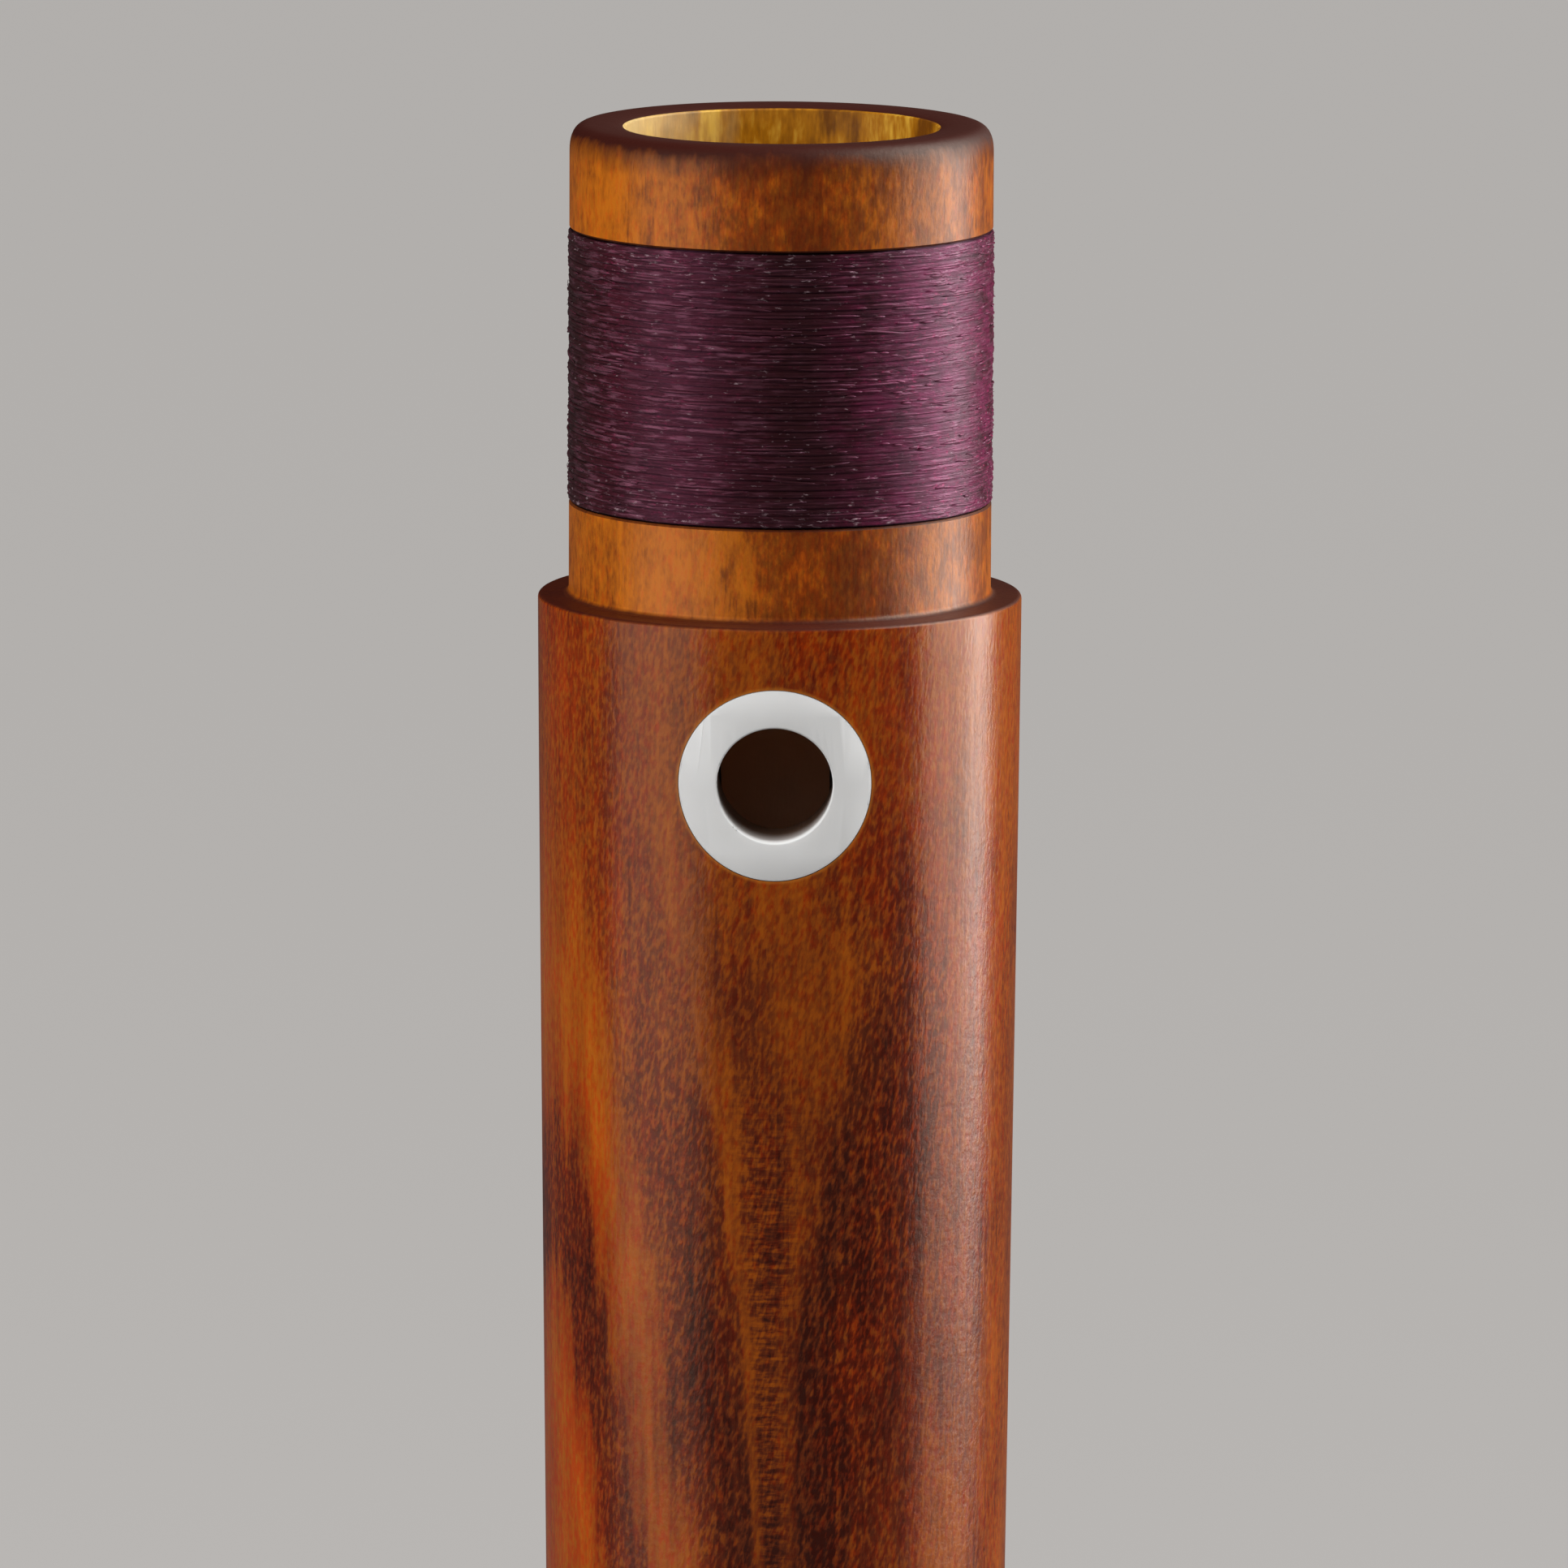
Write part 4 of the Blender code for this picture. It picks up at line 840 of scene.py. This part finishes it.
def footOutline():
    f, top, edge, neckLength = foot, footHigh.z, turning["edge"], turning["neck"]
    points = [(f["socket"], top)] + arc((f["lip"] - edge, top - edge), edge, 90, 0, 9)
    points += bead(f["lip"], top - f["topBeadDrop"])
    neck = top - f["topBeadDrop"] - turning["beadHalf"]
    points += [(f["lip"], neck), (f["lip"], neck - neckLength)]
    bulge = (f["bulge"], top - f["bulgeDrop"])
    neckEnd = (f["lip"] + neckLength, neck - neckLength)
    points += sweep(neckEnd, (f["bulge"], neck - 2 * neckLength), bulge, 12)
    waist = (f["waist"], top - f["waistDrop"])
    halfway = ((bulge[0] + waist[0]) / 2, (2 * bulge[1] + waist[1]) / 3)
    points += sweep(bulge, (bulge[0], (bulge[1] + halfway[1]) / 2), halfway, 10)[1:]
    points += sweep(halfway, (waist[0], (halfway[1] + waist[1]) / 2), waist, 12)[1:]
    points += straight(waist, (f["waist"], f["waistBead"] + turning["beadHalf"] + neckLength), f["step"])
    points += bead(f["waist"], f["waistBead"])
    bell, bellTop = (f["bell"], f["bellHeight"]), f["waistBead"] - turning["beadHalf"] - neckLength
    points.append((f["waist"], bellTop + neckLength))
    points += sweep((f["waist"], bellTop), (bell[0], bellTop), bell, 12)
    endNeck = f["endBead"] + turning["beadHalf"] + neckLength
    points += sweep(bell, (bell[0], (bell[1] + endNeck) / 2), (f["end"], endNeck), 10)[1:]
    points += beadedEnd(f["end"], f["endBead"])
    points += [(f["boreEnd"], 0.0), (f["choke"], f["chokeHeight"])]
    points += [(f["boreTop"], top - f["socketDepth"]), (f["socket"], top - f["socketDepth"])]
    return points


def makeFootJoint():
    joint = spinOutline("footJoint", footOutline(), bodyAxisX, foot["segments"])
    for drop, radius, turn in foot["holes"]:
        outside = foot["waist"] + foot["holeOutside"]
        boolean(joint, drill(bodyAxisX, footHigh.z - drop * mm, radius * mm, turn, outside,
                             outside - foot["boreTop"]))
    finishSmooth(joint)
    dress(joint, woodFinish("footWood", bodyAxisX, foot["oiledRadius"]))
    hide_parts("foot_body")
    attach(joint, "foot_joint")
    print("foot joint turned,", len(joint.data.polygons), "faces")


# the head joint and its block
head = {
    "end": 17.2 * mm, "endBead": 3.4 * mm, "bulge": 19.6 * mm, "bulgeHeight": 14.5 * mm,
    "neckRadius": 15.8 * mm, "neckBead": 49 * mm, "stem": 15.5 * mm, "tip": 14.5 * mm, "tipTaper": 22 * mm,
    "tipRound": 1.0 * mm, "bore": 9.65 * mm, "socket": 12.62 * mm, "socketDepth": 28 * mm,
    "windway": 61 * mm, "windwayWidth": 12.6 * mm, "roof": 10.7 * mm, "floor": 9.2 * mm,
    "cutUp": 4.3 * mm, "windowWidth": 12.2 * mm, "labium": 9.95 * mm, "rampSlope": 13.0, "chamfer": 0.9 * mm,
    "beak": 58 * mm, "tipThickness": 11.5 * mm, "hollow": 0.36, "blockGap": 0.05 * mm,
    "boreInside": 2.4 * mm, "windwayOverlap": 2 * mm, "beakPull": 2.5 * mm, "arc": math.radians(70),
    "segments": 192, "step": 2.6 * mm,
    "oiledRadius": 9.72, "billetShift": 150.0,      # millimetres
    "cedar": ((0.25, 0.086, 0.034), (0.39, 0.160, 0.072), (0.52, 0.265, 0.135)), "cedarSpecular": 0.25,
    "cedarNoise": (((1.4, 1.4, 0.04), 4.0, 0.6, 0.0), ((0.9, 0.12, 0.015), 2.0, 0.5, 4.0)),
}


def headOutline():
    h, tip, neckLength, high = head, head["tipRound"], turning["neck"], headHigh.z
    windowTop = high - h["windway"]
    points = arc((h["tip"] - tip, high - tip), tip, 90, 0, 9)
    stem = (h["stem"], windowTop)
    points += sweep((h["tip"], high - tip), (h["stem"], high - h["tipTaper"]), stem, 16)[1:]
    points += straight(stem, (h["stem"], h["neckBead"] + turning["beadHalf"] + neckLength), h["step"])
    points += bead(h["stem"], h["neckBead"])
    neck = (h["neckRadius"], h["neckBead"] - turning["beadHalf"] - neckLength)
    points.append((h["neckRadius"], neck[1] + neckLength))
    bulge = (h["bulge"], h["bulgeHeight"])
    halfway = ((neck[0] + bulge[0]) / 2, (neck[1] + 2 * bulge[1]) / 3)
    points += sweep(neck, (neck[0], (neck[1] + halfway[1]) / 2), halfway, 12)
    points += sweep(halfway, (bulge[0], (halfway[1] + bulge[1]) / 2), bulge, 10)[1:]
    endNeck = h["endBead"] + turning["beadHalf"] + neckLength
    points += sweep(bulge, (bulge[0], endNeck + neckLength), (h["end"] + neckLength, endNeck), 10)[1:]
    points += [(h["end"], endNeck)] + beadedEnd(h["end"], h["endBead"])
    points += [(h["socket"], 0.0), (h["socket"], h["socketDepth"])]
    return points + [(h["bore"], h["socketDepth"]), (h["bore"], high)]


def archedCutter(outline, width):
    # the outline spun clockwise past the front of the bore, then sliced to parallel sides
    cutter = spinOutline("archedCutter", outline, headAxisX, 40, 2 * head["arc"], math.pi / 2 + head["arc"])
    takeUp(cutter)
    setMode("EDIT")
    for side in (-1, 1):
        bpy.ops.mesh.select_all(action="SELECT")
        bpy.ops.mesh.bisect(plane_co=(headAxisX + side * width / 2, 0, 0), plane_no=(side, 0, 0),
                            use_fill=True, clear_outer=True)
    closeMesh()
    return cutter


def beakCutter():
    h, half = head, head["stem"] + overshoot
    start = (-half, headHigh.z - h["beak"] - h["windwayOverlap"])
    tip = (h["tip"] - h["tipThickness"], headHigh.z + overshoot)
    pull = (tip[0] - h["beakPull"], start[1] + h["hollow"] * h["beak"])
    outline = sweep(start, pull, tip, 28) + [(start[0], tip[1])]
    cutter = drawLine("beakCutter", [Vector((headAxisX - half, y, z)) for y, z in outline])
    bpy.ops.mesh.edge_face_add()
    bpy.ops.mesh.extrude_region_move(TRANSFORM_OT_translate={"value": (2 * half, 0, 0)})
    closeMesh()
    return cutter


def cedarFinish():
    material, tree, shader = newMaterial("blockCedar")
    place = coordinates(tree, headAxisX)[0]
    grain, rings = (noise(place, *settings) for settings in head["cedarNoise"])
    tone = plus(times(grain, 0.5), times(rings, 0.5))
    feed(shader, {"Base Color": ramp(tone, zip((0.35, 0.5, 0.66), head["cedar"])),
                  "Roughness": timesPlus(grain, 0.2, 0.5),
                  "Normal": bumped(grain, strength=0.3, depth=0.04 * mm),
                  "Specular IOR Level": head["cedarSpecular"]})
    material.diffuse_color = (*head["cedar"][1], 1)
    return material


def makeHeadJoint():
    h = head
    windowTop = headHigh.z - h["windway"]
    windwayFrom = windowTop - h["windwayOverlap"]
    labiumHeight = windowTop - h["cutUp"]
    past, inside, outside = headHigh.z + overshoot, h["bore"] - h["boreInside"], h["stem"] + overshoot
    joint = spinOutline("headJoint", headOutline(), headAxisX, h["segments"])
    rampDrop = (outside - h["labium"]) / math.tan(math.radians(h["rampSlope"]))
    window = [(inside, windowTop), (outside, windowTop), (outside, labiumHeight - rampDrop)]
    window += [(h["labium"], labiumHeight), (inside, labiumHeight)]
    boolean(joint, archedCutter(window, h["windowWidth"]))
    roof = [(inside, windwayFrom), (h["roof"], windwayFrom), (h["roof"], past), (inside, past)]
    boolean(joint, archedCutter(roof, h["windwayWidth"]))
    boolean(joint, beakCutter())
    finishSmooth(joint, 11)
    dress(joint, woodFinish("headWood", headAxisX, h["oiledRadius"], h["billetShift"]))
    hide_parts("head_body")
    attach(joint, "head_joint")
    print("head joint turned and voiced,", len(joint.data.polygons), "faces")

    deselectAll()
    bpy.ops.mesh.primitive_cylinder_add(
        vertices=h["segments"], radius=h["bore"] - h["blockGap"], depth=h["windway"],
        location=(headAxisX, 0, headHigh.z - h["windway"] / 2))
    plug = bpy.context.object
    plug.name = plug.data.name = "cedarBlock"
    placeInMesh(plug)
    chamferFoot, beyond = h["floor"] - h["chamfer"], h["bore"] + overshoot
    floorCut = [(chamferFoot, windwayFrom), (beyond, windwayFrom), (beyond, past), (h["floor"], past)]
    floorCut += [(h["floor"], windowTop + h["chamfer"]), (chamferFoot, windowTop)]
    boolean(plug, archedCutter(floorCut, h["windwayWidth"]))
    boolean(plug, beakCutter())
    finishSmooth(plug, 28)
    dress(plug, cedarFinish())
    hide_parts("block")
    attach(plug, "head_joint")
    print("block fitted,", len(plug.data.polygons), "faces")


makeMiddleJoint()
makeBushing()
upperSleeve, upperThread = makeLapping("upperLapping", upperLapLow.z, upperLapHigh.z, lapping["upperFloor"],
                                       middle["tenonRadius"], True)
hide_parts("upper_lapping_underlay")
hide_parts("upper_lapping_thread")
lowerSleeve, lowerThread = makeLapping("lowerLapping", lowerLapLow.z, lowerLapHigh.z, lapping["lowerFloor"],
                                       middle["lowerTenonRadius"], False)
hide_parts("lower_lapping")
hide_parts("lower_lapping")
makeFootJoint()
makeHeadJoint()


# floor, backdrop colour, lamps and camera
studio = {
    "floorSize": 12.0, "floorColour": (0.21, 0.204, 0.198), "floorGlow": (0.425, 0.409, 0.395),
    "glossyShare": 0.08, "floorRoughness": 0.9, "floorSpecular": 0.1, "shownBackdrop": (0.426, 0.410, 0.396),
    "surround": (0.80, 0.78, 0.76), "surroundStrength": 0.10, "surroundInGloss": 0.02, "aimDrop": 12 * mm,
    # name, turn from the camera, distance, height, width, tall, watts, and spread in degrees,
    # less for the low lamps, so that their light doesn't end in a hard line on the floor
    "lamps": (("softboxRight", 95, 0.75, 0.38, 0.62, 0.58, 2.05, 120),
              ("softboxRightEdge", 112, 0.72, 0.40, 0.24, 0.55, 0.75, 120),
              ("softboxUpperRight", 96, 0.50, 0.74, 0.66, 0.40, 3.3, 150),
              ("softboxLeft", -60, 0.95, 0.40, 0.90, 0.80, 1.3, 120),
              ("softboxLeftHigh", -52, 0.60, 1.00, 0.60, 0.60, 5.6, 150),
              ("softboxFront", -12, 1.4, 0.90, 0.90, 0.90, 1.2, 150)),
    "matte": ("softboxLeftHigh", "softboxFront"),      # light the wood without a reflection on the rim
}


def seenDirectly(tree):
    # what the camera sees, and what a gloss shows
    path = tree.nodes.new("ShaderNodeLightPath").outputs
    return sums("MAXIMUM", path["Is Camera Ray"], path["Is Transmission Ray"]), path["Is Glossy Ray"]


def makeStudio():
    deselectAll()
    bpy.ops.mesh.primitive_plane_add(size=studio["floorSize"])
    floor = bpy.context.object
    floor.name = floor.data.name = "floor"
    material, tree, shader = newMaterial("paleFloor")
    feed(shader, {"Base Color": (*studio["floorColour"], 1), "Roughness": studio["floorRoughness"],
                  "Specular IOR Level": studio["floorSpecular"]})
    seen, glossy = seenDirectly(tree)
    seen = timesPlus(glossy, studio["glossyShare"], seen)
    glow = put("ShaderNodeEmission", {0: (*studio["floorGlow"], 1), 1: seen}).outputs[0]
    lit = put("ShaderNodeAddShader", {0: shader.outputs[0], 1: glow}).outputs[0]
    feed(tree.nodes["Material Output"], {0: lit})
    floor.data.materials.append(material)
    world = bpy.data.worlds.new("surround")
    world.use_nodes = True
    bpy.context.scene.world = world
    tree = world.node_tree
    seen, glossy = seenDirectly(tree)
    less = studio["surroundInGloss"] - studio["surroundStrength"]
    dimmed = timesPlus(glossy, less, studio["surroundStrength"])
    lighting = tree.nodes["Background"]
    feed(lighting, {0: (*studio["surround"], 1), 1: dimmed})
    shown = tree.nodes.new("ShaderNodeBackground")
    feed(shown, {0: (*studio["shownBackdrop"], 1), 1: 1.0})
    both = put("ShaderNodeMixShader", {0: seen, 1: lighting.outputs[0], 2: shown.outputs[0]}).outputs[0]
    feed(tree.nodes["World Output"], {0: both})
    target = Vector((bodyAxisX, 0, upperShoulder - studio["aimDrop"]))
    for name, turn, distance, height, width, tall, watts, spread in studio["lamps"]:
        turn = math.radians(turn)
        lamp = bpy.data.lights.new(name, "AREA")
        lamp.shape, lamp.size, lamp.size_y, lamp.energy = "RECTANGLE", width, tall, watts
        lamp.spread = math.radians(spread)
        holder = addObject(name, lamp)
        holder.location = (bodyAxisX + distance * math.sin(turn), -distance * math.cos(turn), height)
        holder.rotation_euler = (target - holder.location).to_track_quat("-Z", "Y").to_euler()
        holder.visible_glossy = name not in studio["matte"]
    print("studio lit")


# the photograph's view: close to the tenon, a little from above, with a long lens
view = {
    "distance": 0.765, "azimuth": 1.0, "down": 9.5, "roll": 0.255,
    "aimDrop": 11.43 * mm, "axisLeft": 0.30 * mm,
    "focalPixels": 16000, "imagePixels": 1932, "sensor": 36.0, "near": 0.01,
}


def makeCamera():
    camera = bpy.data.cameras.new("photoView")
    camera.sensor_width = view["sensor"]
    camera.lens = view["focalPixels"] / view["imagePixels"] * view["sensor"]
    camera.clip_start = view["near"]
    holder = addObject("photoView", camera)
    down = math.radians(view["down"])
    aim = Vector((bodyAxisX + view["axisLeft"], 0, upperShoulder - view["aimDrop"]))
    azimuth = Matrix.Rotation(math.radians(view["azimuth"]), 4, "Z")
    stand = aim + azimuth @ (view["distance"] * Vector((0, -math.cos(down), math.sin(down))))
    turn = azimuth @ Matrix.Rotation(math.pi / 2 - down, 4, "X")
    turn = turn @ Matrix.Rotation(math.radians(view["roll"]), 4, "Z")
    holder.matrix_world = Matrix.Translation(stand) @ turn
    bpy.context.scene.camera = holder
    bpy.context.scene.view_settings.view_transform = "Standard"
    print("camera set")


makeStudio()
makeCamera()
